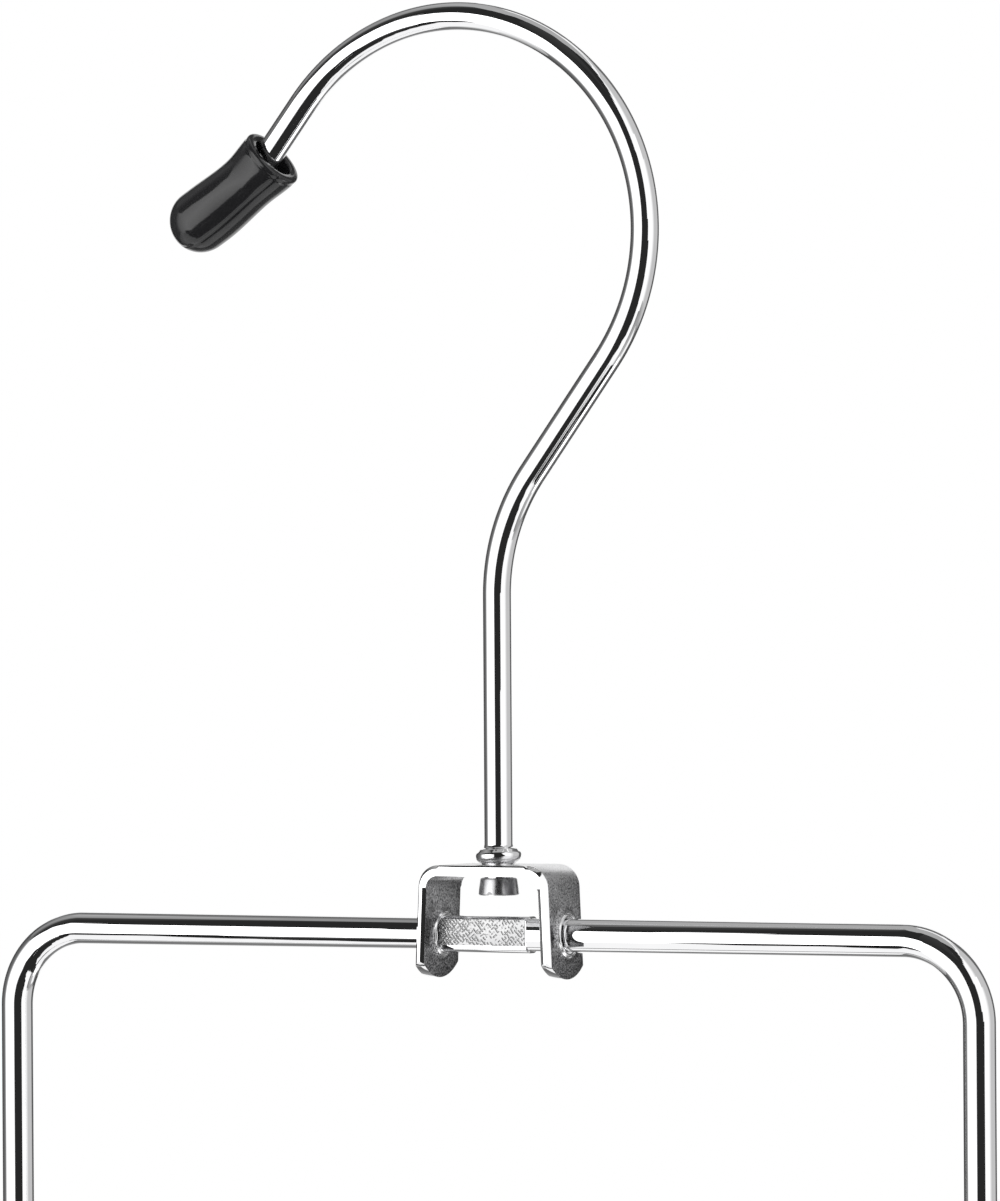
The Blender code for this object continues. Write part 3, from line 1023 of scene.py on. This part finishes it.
@dataclass
class SwivelBracket:
    """The stamped clevis: a bent strip with a swivel hole, coined ear holes and rear throats."""

    plate_top: float
    bar_z: float
    finishes: Finishes
    sheet: float = 1.3 * MM
    inner: float = 15.3 * MM
    depth: float = 9.3 * MM
    bend_inside: float = 1.5 * MM
    splay: float = math.radians(2.5)
    lobe_radius: float = 6.25 * MM
    lobe_rise: float = 0.9 * MM
    hole: float = 4.4 * MM
    swivel_hole: float = 3.9 * MM
    throat_above: float = 1.2 * MM
    throat_below: float = 1.9 * MM
    throat_mouth: float = 2.4 * MM
    square: tuple[float, float] = (0.5 * MM, 0.04 * MM)
    plate_edge: tuple[float, float] = (0.2 * MM, 0.11 * MM)
    edge: tuple[float, float] = (0.44 * MM, 0.52 * MM)
    roll: tuple[float, float] = (0.5 * MM, 0.26 * MM)
    blend: float = 0.3 * MM
    cut_edge: float = 0.14 * MM
    lip_height: float = 0.58 * MM
    lip_crest: float = 0.27 * MM
    lip_skirt: float = 0.9 * MM
    lip_inset: float = 0.04 * MM
    overrun: float = 2.0 * MM
    lobe_sides: int = 180
    hole_sides: int = 96
    lip_sides: int = 120

    def ear_face(self, inner_side: bool) -> float:
        """Distance from the middle to an ear's face at the bar's level.

        Args:
            inner_side: Whether it is the inner face.

        Returns:
            The distance.
        """
        drop = self.plate_top - self.bar_z
        inside = self.inner / 2 + math.tan(self.splay) * (
            drop - self.sheet - self.bend_inside * (1 - math.sin(self.splay))
        )
        return inside if inner_side else inside + self.sheet / math.cos(self.splay)

    def strip(self) -> bpy.types.Object:
        """Draws half of the strip from the middle of the plate down one ear, and mirrors it.

        Returns:
            The strip.
        """
        middle = Vector((0.0, 0.0, self.plate_top - self.sheet / 2))
        bar = Strip("swivel_bracket_stamping", middle, 0.0, self.depth, self.sheet)
        bar.press(self.plate_edge, self.square)
        straight = self.inner / 2 - self.bend_inside * math.cos(self.splay)
        bar.ahead(straight - self.blend)
        bar.ahead(self.blend)
        bar.press(self.edge, self.square)
        bar.bend(self.bend_inside + self.sheet / 2, self.splay - math.pi / 2, math.radians(3.0))
        bar.ahead(self.blend)
        bar.press(self.edge, self.roll)
        bar.ahead(self.plate_top - self.bar_z + self.lobe_radius)
        bar.cap_ring()
        face_outwards()
        piece = settle(bar.piece)
        apply(piece, "MIRROR", merge_threshold=SEAM)
        return piece

    def rod(self, radius: float, length: float, height: float, across: bool, sides: int) -> bpy.types.Object:
        """Makes a round tool.

        Args:
            radius: Its radius.
            length: Its length.
            height: Its middle's height, on the hook's axis.
            across: Whether it lies along X and doesn't stand.
            sides: Its corners.

        Returns:
            The tool.
        """
        turn = math.pi / 2 if across else 0.0
        return settle(
            added(
                bpy.ops.mesh.primitive_cylinder_add, vertices=sides, radius=radius, depth=length,
                location=(0.0, 0.0, height), rotation=(0.0, turn, 0.0),
            )
        )

    def lobes(self, piece: bpy.types.Object) -> None:
        """Trims both ears' ends to their round lobes.

        Args:
            piece: The bent strip.
        """
        centre = self.bar_z + self.lobe_rise
        tool = self.rod(self.lobe_radius, 3 * self.inner, centre, True, self.lobe_sides)
        bpy.ops.object.mode_set(mode="EDIT")
        choose(tool, lambda co: co.z > centre + 0.01 * MM)
        bpy.ops.transform.resize(value=(1.0, 1.0, 0.0), center_override=(0.0, 0.0, centre))
        bpy.ops.transform.translate(value=(0.0, 0.0, 2 * self.inner))
        settle(tool)
        carve(piece, tool, Carve.KEEP)

    def holes(self, piece: bpy.types.Object) -> None:
        """Drills the swivel hole and the ears' holes, and opens the throats behind them.

        Args:
            piece: The bent strip.
        """
        reach = 3 * self.inner
        sides = self.hole_sides
        swivel = self.rod(self.swivel_hole / 2, 3 * self.sheet, self.plate_top, False, sides)
        carve(piece, swivel, Carve.CUT)
        pivot = self.rod(self.hole / 2, reach, self.bar_z, True, sides)
        carve(piece, pivot, Carve.CUT)
        back = self.depth / 2 + self.overrun
        height = self.throat_above + self.throat_below
        middle = self.bar_z + (self.throat_above - self.throat_below) / 2
        tool = block((reach, back, height), (0.0, back / 2, middle))
        choose(tool, lambda co: co.z < middle and co.y > back / 2)
        slope = (self.throat_mouth - self.throat_below) / (self.depth / 2)
        bpy.ops.transform.translate(value=(0.0, 0.0, -slope * back))
        settle(tool)
        carve(piece, tool, Carve.CUT)

    def coined_lip(self, name: str, face: float, lean: float) -> None:
        """A lip pressed up round one hole, with a skirt that eases into the ear, open at the throat.

        Args:
            name: The piece's name.
            face: The face's place along X at the bar's level.
            lean: The face's lean about Y.
        """
        bore = self.hole / 2 - self.lip_inset
        rows = [(-self.lip_height, bore)]
        for index in range(15):
            turn = math.pi * index / 16
            rise = self.lip_height - self.lip_crest * (1 - math.sin(turn))
            rows.append((rise, bore + self.lip_crest * (1 - math.cos(turn))))
        shoulder, rim = rows[-1]
        for index in range(1, 11):
            share = index / 10
            rows.append((shoulder * (1 - share) ** 2, rim + self.lip_skirt * share))
        rows.append((-self.lip_height, rim + self.lip_skirt))
        middle = Vector((face, 0.0, self.bar_z))
        bar = Drawn(name, middle, lean, bore, self.lip_sides)
        bar.follow(rows)
        bpy.ops.mesh.select_all(action="SELECT")
        bpy.ops.mesh.remove_doubles(threshold=SAME_PLACE)
        face_outwards()
        low = self.bar_z - self.throat_below
        high = self.bar_z + self.throat_above
        choose(bar.piece, lambda co: co.y > 0.0 and low < co.z < high)
        bpy.ops.mesh.delete(type="VERT")
        choose_open_edges()
        bpy.ops.mesh.fill_holes(sides=0)
        piece = settle(bar.piece)
        smooth(piece, 50.0)
        polished = rim + self.lip_inset
        dress(
            piece, Body.BRACKET, self.finishes.coined, (),
            (self.finishes.plated, lambda centre, _: (centre - middle).yz.length > polished),
        )

    def build(self) -> None:
        """Bends, trims and pierces the strip, rounds its cut edges and adds the coined lips."""
        piece = self.strip()
        self.lobes(piece)
        reorder(piece)
        self.holes(piece)
        reorder(piece)
        soften(piece, self.cut_edge, 3, 40.0)
        smooth(piece, 22.0)
        dress(
            piece, Body.BRACKET, self.finishes.edge, ["swivel_bracket"],
            (self.finishes.plated, self.rolled),
        )
        self.coined_lip("coined_lip_left", -self.ear_face(True), -self.splay)
        self.coined_lip("coined_lip_right", self.ear_face(False), self.splay)

    def rolled(self, centre: Vector, normal: Vector) -> bool:
        """Whether a face keeps the sheet's rolled grain, as the ears and the bent top do.

        Args:
            centre: The face's centre.
            normal: Its normal.

        Returns:
            False for a sheared or pressed edge.
        """
        ear = abs(normal.x) > 0.97
        top = centre.z > self.plate_top - 2 * self.sheet - self.bend_inside
        return ear or (top and abs(normal.y) < 0.2)


@dataclass(frozen=True)
class Cut:
    """One family of the knurling's grooves, by the angle that it falls to the right."""

    turn: float
    pitch: float
    half_width: float
    depth: float
    dash: float
    bias: float
    seed: float


@dataclass
class FrameWire:
    """The closed loop of wire with its stamped, knurled flat between the ears."""

    bar_z: float
    centre_x: float
    height: float
    finishes: Finishes
    wire: float = 4.0 * MM
    width: float = 133.0 * MM
    bend_radius: float = 9.8 * MM
    flat_length: float = 12.2 * MM
    flat_height: float = 4.5 * MM
    flat_thickness: float = 3.0 * MM
    flat_round: float = 1.3 * MM
    flat_squeeze: float = 0.6 * MM
    flat_ramp: float = 1.0 * MM
    flat_offset: float = 0.7 * MM
    flat_edge: float = 0.07 * MM
    knurl_grid: tuple[int, int] = (300, 78)
    knurl_margin: float = 0.3 * MM
    knurl_height: float = 3.2 * MM
    knurl_rise: float = 0.24 * MM
    knurl_stand: float = 0.07 * MM
    knurl_inlet: float = 0.08 * MM
    sway: float = 0.11 * MM
    sway_length: float = 0.7 * MM
    pit: float = 0.006 * MM
    pit_length: float = 0.13 * MM
    cuts: tuple[Cut, ...] = (
        Cut(math.radians(50), 0.39 * MM, 0.085 * MM, 0.064 * MM, 0.4 * MM, 0.1, 1.7),
        Cut(math.radians(135), 0.43 * MM, 0.08 * MM, 0.05 * MM, 0.3 * MM, 0.02, 5.3),
    )
    overrun: float = 2.0 * MM
    sides: int = 56

    def loop(self) -> bpy.types.Object:
        """Draws the loop from the middle of the top bar, clockwise from the front.

        Returns:
            The loop.
        """
        start = Vector((self.centre_x, 0.0, self.bar_z))
        bar = Drawn("frame_bent_wire", start, 0.0, self.wire / 2, self.sides)
        half = self.width / 2 - self.bend_radius
        side = self.height - 2 * self.bend_radius
        for run in (half, side, 2 * half, side):
            bar.ahead(run)
            bar.bend(self.bend_radius, -math.pi / 2, math.radians(1.5))
        bar.ahead(half)
        return bar.done()

    def stamp_flat(self, piece: bpy.types.Object) -> None:
        """Adds the metal that the stamp spreads up and down, and flattens front and back.

        Args:
            piece: The loop.
        """
        flat_x = self.centre_x + self.flat_offset
        place = (flat_x, 0.0, self.bar_z)
        land = block((self.flat_length, self.flat_thickness + self.flat_squeeze, self.flat_height), place)
        bpy.ops.mesh.select_mode(type="EDGE")
        bpy.ops.mesh.select_all(action="DESELECT")
        bpy.ops.object.mode_set(mode="OBJECT")
        for edge in land.data.edges:
            first, second = (land.data.vertices[index].co for index in edge.vertices)
            edge.select = abs(first.x - second.x) > self.flat_length / 2
        bpy.ops.object.mode_set(mode="EDIT")
        bpy.ops.mesh.bevel(offset=self.flat_round, segments=10)
        settle(land)
        carve(piece, land, Carve.JOIN)
        reach = self.wire + self.overrun
        face = self.flat_thickness / 2
        for side in (-1, 1):
            middle = side * (face + reach) / 2
            size = (self.flat_length, reach - face, 2 * self.wire)
            tool = block(size, (flat_x, middle, self.bar_z))
            choose(tool, lambda co, turn=side: co.y * turn > (face + reach) / 2)
            ramp = self.flat_ramp * (reach - face) / (self.wire / 2)
            wider = (self.flat_length + 2 * ramp) / self.flat_length
            bpy.ops.transform.resize(value=(wider, 1.0, 1.0), center_override=(flat_x, middle, self.bar_z))
            settle(tool)
            carve(piece, tool, Carve.CUT)

    def knurl(self) -> None:
        """The knurled front of the flat: a fine grid cut by broken grooves that cross."""
        length = self.flat_length - self.knurl_margin
        flat_x = self.centre_x + self.flat_offset
        face = -self.flat_thickness / 2
        columns, rows = self.knurl_grid
        piece = added(
            bpy.ops.mesh.primitive_grid_add, x_subdivisions=columns, y_subdivisions=rows, size=1.0
        )
        piece.name = "knurled_face"
        piece.data.name = "knurled_face"
        piece.scale = (length, self.knurl_height, 1.0)
        piece.rotation_euler.x = math.pi / 2
        piece.location = (flat_x, face + self.knurl_inlet, self.bar_z + self.knurl_rise)
        settle(piece)
        bpy.ops.object.mode_set(mode="EDIT")
        bpy.ops.mesh.select_all(action="SELECT")
        out = {"value": (0.0, -self.knurl_inlet - self.knurl_stand, 0.0)}
        bpy.ops.mesh.extrude_region_move(TRANSFORM_OT_translate=out)
        bpy.ops.object.mode_set(mode="OBJECT")
        for vertex in piece.data.vertices:
            if vertex.select:
                share = (vertex.co.x - flat_x) / length + 0.5
                vertex.co.y += self.stroke(vertex.co, share)
        bpy.ops.object.mode_set(mode="EDIT")
        face_outwards()
        settle(piece)
        smooth(piece, 60.0)
        # Its material's darker colour is painted shade on the knurled front.
        dress(piece, Body.FRAME, self.finishes.knurled)

    def stroke(self, co: Vector, share: float) -> float:
        """How deep the knurling cuts at a place on the flat's front.

        Args:
            co: The place.
            share: How far along the flat it is, from its left end.

        Returns:
            The depth.
        """
        sway = self.sway * noise.noise(Vector((co.x, 0.0, co.z)) / self.sway_length)
        wear = 0.45 - 0.4 * math.sqrt(min(1.0, max(0.0, share * 1.3)))
        deepest = 0.0
        for cut in self.cuts:
            across = co.x * math.sin(cut.turn) + co.z * math.cos(cut.turn) + sway
            along = co.x * math.cos(cut.turn) - co.z * math.sin(cut.turn)
            line = round(across / cut.pitch)
            side = 1.0 - abs(across - line * cut.pitch) / cut.half_width
            mark = noise.noise(Vector((along / cut.dash, line * 7.31, cut.seed))) + wear + cut.bias
            deepest = max(deepest, cut.depth * max(0.0, side) * min(1.0, max(0.0, mark * 3.0)))
        pit = self.pit * noise.noise(Vector((co.x, 9.0, co.z)) / self.pit_length)
        return min(self.knurl_stand, deepest + pit)

    def build(self) -> None:
        """Draws the loop, stamps its flat, softens the stamped edges and knurls the front."""
        piece = self.loop()
        self.stamp_flat(piece)
        soften(piece, self.flat_edge, 2, 25.0)
        smooth(piece, 30.0)
        dress(piece, Body.FRAME, self.finishes.chrome, ["frame_wire"])
        self.knurl()


@dataclass
class CrossBar:
    """A rod between the legs with its weld beads, or the frame's own bottom run, in a vinyl sleeve."""

    number: int
    centre: Vector
    rod: float
    finishes: Finishes
    welded: bool = True
    span: float = 133.0 * MM
    leg: float = 4.0 * MM
    bead: float = 4.1 * MM
    bead_length: float = 1.5 * MM
    sink: float = 0.5 * MM
    sleeve: float = 111.4 * MM
    slack: float = 0.06 * MM
    wall: float = 1.04 * MM
    rim: float = 0.3 * MM
    wobble: float = 0.03 * MM
    wobble_length: float = 7.0 * MM
    sides: int = 48

    def weld_rod(self) -> None:
        """Draws the rod from leg to leg, swelling into a bead at each weld."""
        reach = self.span / 2 - self.leg / 2 + self.sink
        start = self.centre - Vector((reach, 0.0, 0.0))
        bar = Drawn(f"tie_bar_{self.number}_rod", start, 0.0, self.bead / 2, self.sides)
        full = self.sink + self.bead_length
        stations = [(0.0, self.bead / 2), (self.sink, self.bead / 2), (full, self.rod / 2)]
        steps = 14
        places = [full * index / steps for index in range(1, steps + 1)]
        rise = [(place, eased(stations, place)) for place in places]
        fall = [(2 * reach - distance, radius) for distance, radius in reversed(rise)]
        bar.follow(rise + fall + [(2 * reach, self.bead / 2)])
        piece = bar.done()
        smooth(piece, 40.0)
        dress(piece, Body.FRAME, self.finishes.chrome, [f"tie_bar_{self.number}"])

    def grip_sleeve(self) -> None:
        """Draws the sleeve's skin from rim to rim, then its bore back again."""
        inner = self.rod / 2 + self.slack
        outer = self.rod / 2 + self.wall
        start = self.centre - Vector((self.sleeve / 2, 0.0, 0.0))
        bar = Drawn(f"grip_sleeve_{self.number}_tube", start, 0.0, inner, self.sides)
        near = quarter(outer, self.rim, 5)
        far = [(self.sleeve - distance, radius) for distance, radius in reversed(near)]
        runs = 60
        length = self.sleeve - 2 * self.rim
        skin = []
        for index in range(1, runs):
            distance = self.rim + length * index / runs
            place = Vector((distance / self.wobble_length, self.number * 3.7, 0.0))
            skin.append((distance, outer + noise.noise(place) * self.wobble))
        bar.follow([(0.0, outer - self.rim)] + near + skin + far)
        bar.follow([(0.0, outer - self.rim), (0.0, inner)])
        bar.ahead(-self.sleeve)
        piece = bar.done()
        smooth(piece, 40.0)
        dress(piece, Body.FRAME, self.finishes.vinyl, [f"grip_sleeve_{self.number}"])

    def build(self) -> None:
        """Makes the rod if there is one, and the sleeve."""
        if self.welded:
            self.weld_rod()
        self.grip_sleeve()


# Studio


@dataclass(frozen=True)
class Card:
    """A card that only shows in reflections, by its angles from the hanger.

    Azimuths are degrees round from the camera, with the left negative, and elevations are above the horizon.
    Shades are linear, at the lower left, lower right, upper left and upper right corners.
    """

    left: float
    right: float
    low: float
    high: float
    shades: tuple[float, float, float, float]


HOT, BRIGHT, SOFTBOX, WHITE, PALE, GREY, SLATE, DIM = 2.5, 1.9, 1.25, 1.1, 0.58, 0.42, 0.2, 0.12
CHARCOAL, DARK, BLACK = 0.045, 0.022, 0.006


def plain_cards(shade: float, *spans: tuple[float, float, float, float]) -> list[Card]:
    """Cards of one shade, by the left, right, low and high of each."""
    return [Card(*span, (shade, shade, shade, shade)) for span in spans]


CARDS = (
    # The light grey right side, and the dark surround of the white backdrop behind the hanger
    *plain_cards(PALE, (78, 127, -24, 30), (58, 127, 28, 62)),
    Card(66, 114, -31, -22, (DIM, GREY, PALE, PALE)),
    Card(122, 152, -24, 52, (DIM, CHARCOAL, SLATE, DIM)),
    Card(112, 144, -42, -24, (SLATE, SLATE, DIM, DARK)),
    Card(148, 180, 33, 56, (DIM, CHARCOAL, SLATE, SLATE)),
    Card(126, 180, -60, -32, (SLATE, DIM, DIM, GREY)),
    Card(-180, -156, 27, 50, (DIM, DIM, SLATE, SLATE)),
    Card(-158, -134, 22, 50, (DIM, DARK, SLATE, GREY)),
    Card(-180, -143, -59, -30, (DIM, DIM, GREY, SLATE)),
    Card(-145, -112, -60, -42, (DIM, WHITE, SLATE, WHITE)),
    Card(-145, -102, -44, -30, (SLATE, WHITE, SLATE, PALE)),
    Card(-156, -97, -30, 26, (DARK, SLATE, DARK, SLATE)),
    Card(-136, -98, 25, 72, (DIM, GREY, GREY, GREY)),
    *plain_cards(GREY, (-180, -134, 49, 72), (-180, 180, 66, 90)),
    Card(-116, -88, 24, 70, (SLATE, DARK, GREY, DARK)),
    # The softbox at the left, hottest where it faces the hanger, and the white side at the right
    Card(-103, -88, -30, 21, (SLATE, SOFTBOX, SLATE, SOFTBOX)),
    Card(-90, -54, -34, 26, (SOFTBOX, HOT, SOFTBOX, HOT)),
    Card(-56, -38, -34, 26, (HOT, BRIGHT, HOT, BRIGHT)),
    Card(-40, -18, -34, 26, (BRIGHT, PALE, BRIGHT, PALE)),
    Card(-66, -34, -41, -32.5, (BLACK, BLACK, PALE, SLATE)),
    *plain_cards(WHITE, (21, 66, -46, 60)),
    Card(62, 82, -24, 28, (WHITE, PALE, WHITE, PALE)),
    Card(44, 66, 38, 60, (WHITE, PALE, WHITE, PALE)),
    Card(58, 90, -50, -28, (GREY, PALE, SLATE, GREY)),
    *plain_cards(HOT, (86, 106, -58, -44)),
    # The dark edge of the table, which draws the thin line along the top bar
    *plain_cards(BLACK, (-72, -56, -41, -30.5)),
    # The black cloth over the hanger
    Card(-98, -78, 20.5, 70, (CHARCOAL, DARK, CHARCOAL, CHARCOAL)),
    *plain_cards(DARK, (-79, -70, 24, 71), (-71, -62, 30, 72), (-64, -42, 24.5, 78)),
    Card(-44, 10, 20.5, 79, (DARK, DARK, CHARCOAL, CHARCOAL)),
    *plain_cards(
        DARK, (8, 18, 42, 74), (16, 25, 46, 74), (23, 33, 50, 73), (31, 41, 53.5, 72), (39, 47, 58, 71),
    ),
    Card(45, 56, 62, 70, (DARK, DARK, CHARCOAL, CHARCOAL)),
    # The black upright round the camera
    *plain_cards(
        DARK, (-25, 17, 18, 44), (-24, 21, 5, 27), (-24, 26, -1.5, 6), (-23, 32, -14, -1),
        (-24, 33, -24, -13), (-25, 35, -31, -23), (-25, 32, -35, -30), (-25, 22, -38, -34),
    ),
    # The black under the camera, running out to a thin tail at the right
    Card(-34, -20, -28, -23.5, (DARK, DARK, SLATE, DARK)),
    *plain_cards(
        DARK, (-40, -20, -39, -27.5), (-25, 13, -50, -37), (-66, -16, -45, -39.5),
        (-67, -16, -50.5, -44), (-65, -16, -54.5, -50), (-61, 14, -58, -54), (-54, 20, -61.5, -57.5),
    ),
    Card(-46, 16, -69, -61, (CHARCOAL, CHARCOAL, DARK, DARK)),
    *plain_cards(
        DARK, (-20, 19, -58, -44), (12, 28, -64, -45.5), (24, 40, -64, -48.7), (38, 66, -62.5, -49.7),
        (62, 80, -59, -49.7),
    ),
)


@dataclass
class Studio:
    """Floor, cards, lamps, world and camera."""

    target: Vector
    azimuth: float = math.radians(28.0)
    distance: float = 0.9756
    lens: float = 239.8
    sensor: float = 36.0
    roll: float = math.radians(-0.37)
    shift: float = 3.0 / 1201
    floor_z: float = -0.43
    floor_radius: float = 1.6
    floor_pale: tuple[float, float, float] = (0.86, 0.86, 0.86)
    floor_grey: tuple[float, float, float] = (0.84, 0.84, 0.84)
    card_reach: float = 3.0
    card_gap: float = 0.008
    card_steps: int = 24
    lamp_reach: float = 1.8
    ambient: float = 0.7
    white: tuple[float, float, float, float] = (1.0, 1.0, 1.0, 1.0)

    def toward(self, turn: float, rise: float) -> Vector:
        """The way from the hanger to a place round it.

        Args:
            turn: Degrees round from the camera.
            rise: Degrees above the horizon.

        Returns:
            The way, of length 1.
        """
        angle = math.radians(turn) + self.azimuth
        height = math.radians(rise)
        flat = math.cos(height)
        return Vector((math.sin(angle) * flat, -math.cos(angle) * flat, math.sin(height)))

    def camera(self) -> None:
        """Sets the photograph's camera: level, to the right of the front."""
        look = Vector((-math.sin(self.azimuth), math.cos(self.azimuth), 0.0))
        data = bpy.data.cameras.new("view_camera")
        data.lens = self.lens
        data.sensor_width = self.sensor
        data.shift_x = self.shift
        camera = bpy.data.objects.new("view_camera", data)
        bpy.context.scene.collection.objects.link(camera)
        camera.location = self.target - look * self.distance
        level = look.to_track_quat("-Z", "Y").to_matrix()
        camera.rotation_euler = (level @ Matrix.Rotation(self.roll, 3, "Z")).to_euler()
        bpy.context.scene.camera = camera

    def world(self) -> None:
        """White wherever it is seen or mirrored, and a plain level of light on everything else."""
        graph = Graph(bpy.data.worlds.new("studio"))
        bpy.context.scene.world = graph.owner
        plain = graph.nodes["Background"]
        graph.feed(plain.inputs["Color"], self.white)
        graph.feed(plain.inputs["Strength"], self.ambient)
        bare = graph.add("ShaderNodeBackground", {}, {"Color": self.white})
        rays = graph.add("ShaderNodeLightPath", {}, {}).outputs
        seen = rays["Is Camera Ray"]
        for kind in ("Is Glossy Ray", "Is Transmission Ray"):
            either = graph.add("ShaderNodeMath", {"operation": "MAXIMUM"}, {0: seen, 1: rays[kind]})
            seen = either.outputs[0]
        shaders = {0: seen, 1: plain.outputs[0], 2: bare.outputs[0]}
        mix = graph.add("ShaderNodeMixShader", {}, shaders)
        graph.feed(graph.nodes["World Output"].inputs["Surface"], mix.outputs[0])

    def card_material(self) -> bpy.types.Material:
        """Builds the cards' own light, from the shade kept on their corners.

        Returns:
            The material.
        """
        graph = Graph(bpy.data.materials.new("reflector_card"))
        graph.nodes.remove(graph.nodes["Principled BSDF"])
        shade = graph.add("ShaderNodeAttribute", {"attribute_name": "shade"}, {})
        glow = graph.add("ShaderNodeEmission", {}, {"Strength": shade.outputs["Fac"]})
        graph.feed(graph.nodes["Material Output"].inputs["Surface"], glow.outputs[0])
        return graph.owner

    def card(self, index: int, spec: Card, material: bpy.types.Material) -> None:
        """Bends one grid to its angles on a sphere round the hanger, for the reflections alone.

        Args:
            index: Its number, which sets its distance so that no two meet.
            spec: Its angles and shades.
            material: Its material.
        """
        steps = self.card_steps
        piece = added(
            bpy.ops.mesh.primitive_grid_add, x_subdivisions=steps, y_subdivisions=steps, size=1.0
        )
        piece.name = f"reflector_card_{index}"
        reach = self.card_reach - self.card_gap * index
        layer = piece.data.attributes.new("shade", "FLOAT", "POINT")
        low_left, low_right, high_left, high_right = spec.shades
        for vertex in piece.data.vertices:
            across, up = vertex.co.x + 0.5, vertex.co.y + 0.5
            turn = spec.left + (spec.right - spec.left) * across
            rise = spec.low + (spec.high - spec.low) * up
            low = low_left + (low_right - low_left) * across
            high = high_left + (high_right - high_left) * across
            layer.data[vertex.index].value = low + (high - low) * up
            vertex.co = self.target + self.toward(turn, rise) * reach
        piece.data.materials.append(material)
        for ray in ("camera", "diffuse", "transmission", "volume_scatter", "shadow"):
            setattr(piece, f"visible_{ray}", False)

    def floor(self) -> None:
        """A pale round floor under the hanger, which keeps its shadow."""
        piece = settle(
            added(
                bpy.ops.mesh.primitive_circle_add, vertices=128, radius=self.floor_radius,
                fill_type="NGON", location=(0.0, 0.0, self.floor_z),
            )
        )
        piece.name = "pale_floor"
        graph = Graph(bpy.data.materials.new("pale_floor"))
        tone = graph.blend(graph.noise(3.0), self.floor_pale, self.floor_grey)
        piece.data.materials.append(graph.finish(Base_Color=tone, Roughness=0.9))
        piece.visible_glossy = False

    def lamp(self, name: str, turn: float, rise: float, size: float, power: float) -> None:
        """A square soft lamp aimed at the hanger, kept out of the reflections.

        Args:
            name: The lamp's name.
            turn: Degrees round from the camera.
            rise: Degrees above the horizon.
            size: Its side.
            power: Its power in watts.
        """
        data = bpy.data.lights.new(name, "AREA")
        data.size = size
        data.energy = power
        lamp = bpy.data.objects.new(name, data)
        bpy.context.scene.collection.objects.link(lamp)
        way = self.toward(turn, rise)
        lamp.location = self.target + way * self.lamp_reach
        lamp.rotation_euler = (-way).to_track_quat("-Z", "Y").to_euler()
        lamp.visible_glossy = False
        lamp.visible_camera = False

    def build(self) -> None:
        """Sets everything round the hanger."""
        self.camera()
        self.world()
        self.floor()
        material = self.card_material()
        for index, spec in enumerate(CARDS):
            self.card(index, spec, material)
        self.lamp("key_softbox", turn=-55.0, rise=35.0, size=1.0, power=14.0)
        self.lamp("fill_softbox", turn=60.0, rise=30.0, size=1.2, power=6.0)
        bpy.context.scene.view_settings.view_transform = "Standard"


def joint_place(frame: dict[str, Any], name: str) -> Vector:
    """Finds a joint of the frame.

    Args:
        frame: The frame.
        name: The joint's name.

    Returns:
        Its place.
    """
    for joint in frame["joints"]:
        if joint["name"] == name:
            return Vector(joint["pos_m"])
    raise KeyError(name)


def main() -> None:
    """Loads the frame, builds each sub-assembly round it, and sets the studio."""
    logging.basicConfig(level=logging.INFO, format="%(name)s: %(message)s")
    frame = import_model()

    plate_top = joint_place(frame, "bracket_swivel").z
    bar_z = joint_place(frame, "frame_swing").z
    low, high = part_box("frame_wire")
    finishes = Finishes()

    studio = Studio(target=Vector((0.0, 0.0, -0.069)))
    studio.build()

    hook = HookWire(plate_top, finishes)
    hook.build()
    TipCap(hook, finishes).build()
    SwivelBracket(plate_top, bar_z, finishes).build()
    centre_x = (low.x + high.x) / 2
    wire = high.y - low.y
    FrameWire(bar_z, centre_x, bar_z - low.z - wire / 2, finishes, wire=wire).build()
    for number in range(1, 5):
        first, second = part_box(f"grip_sleeve_{number}")
        CrossBar(number, (first + second) / 2, ROD, finishes).build()
    first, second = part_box("grip_sleeve_5")
    CrossBar(5, (first + second) / 2, wire, finishes, welded=False).build()


if __name__ == "__main__":
    main()
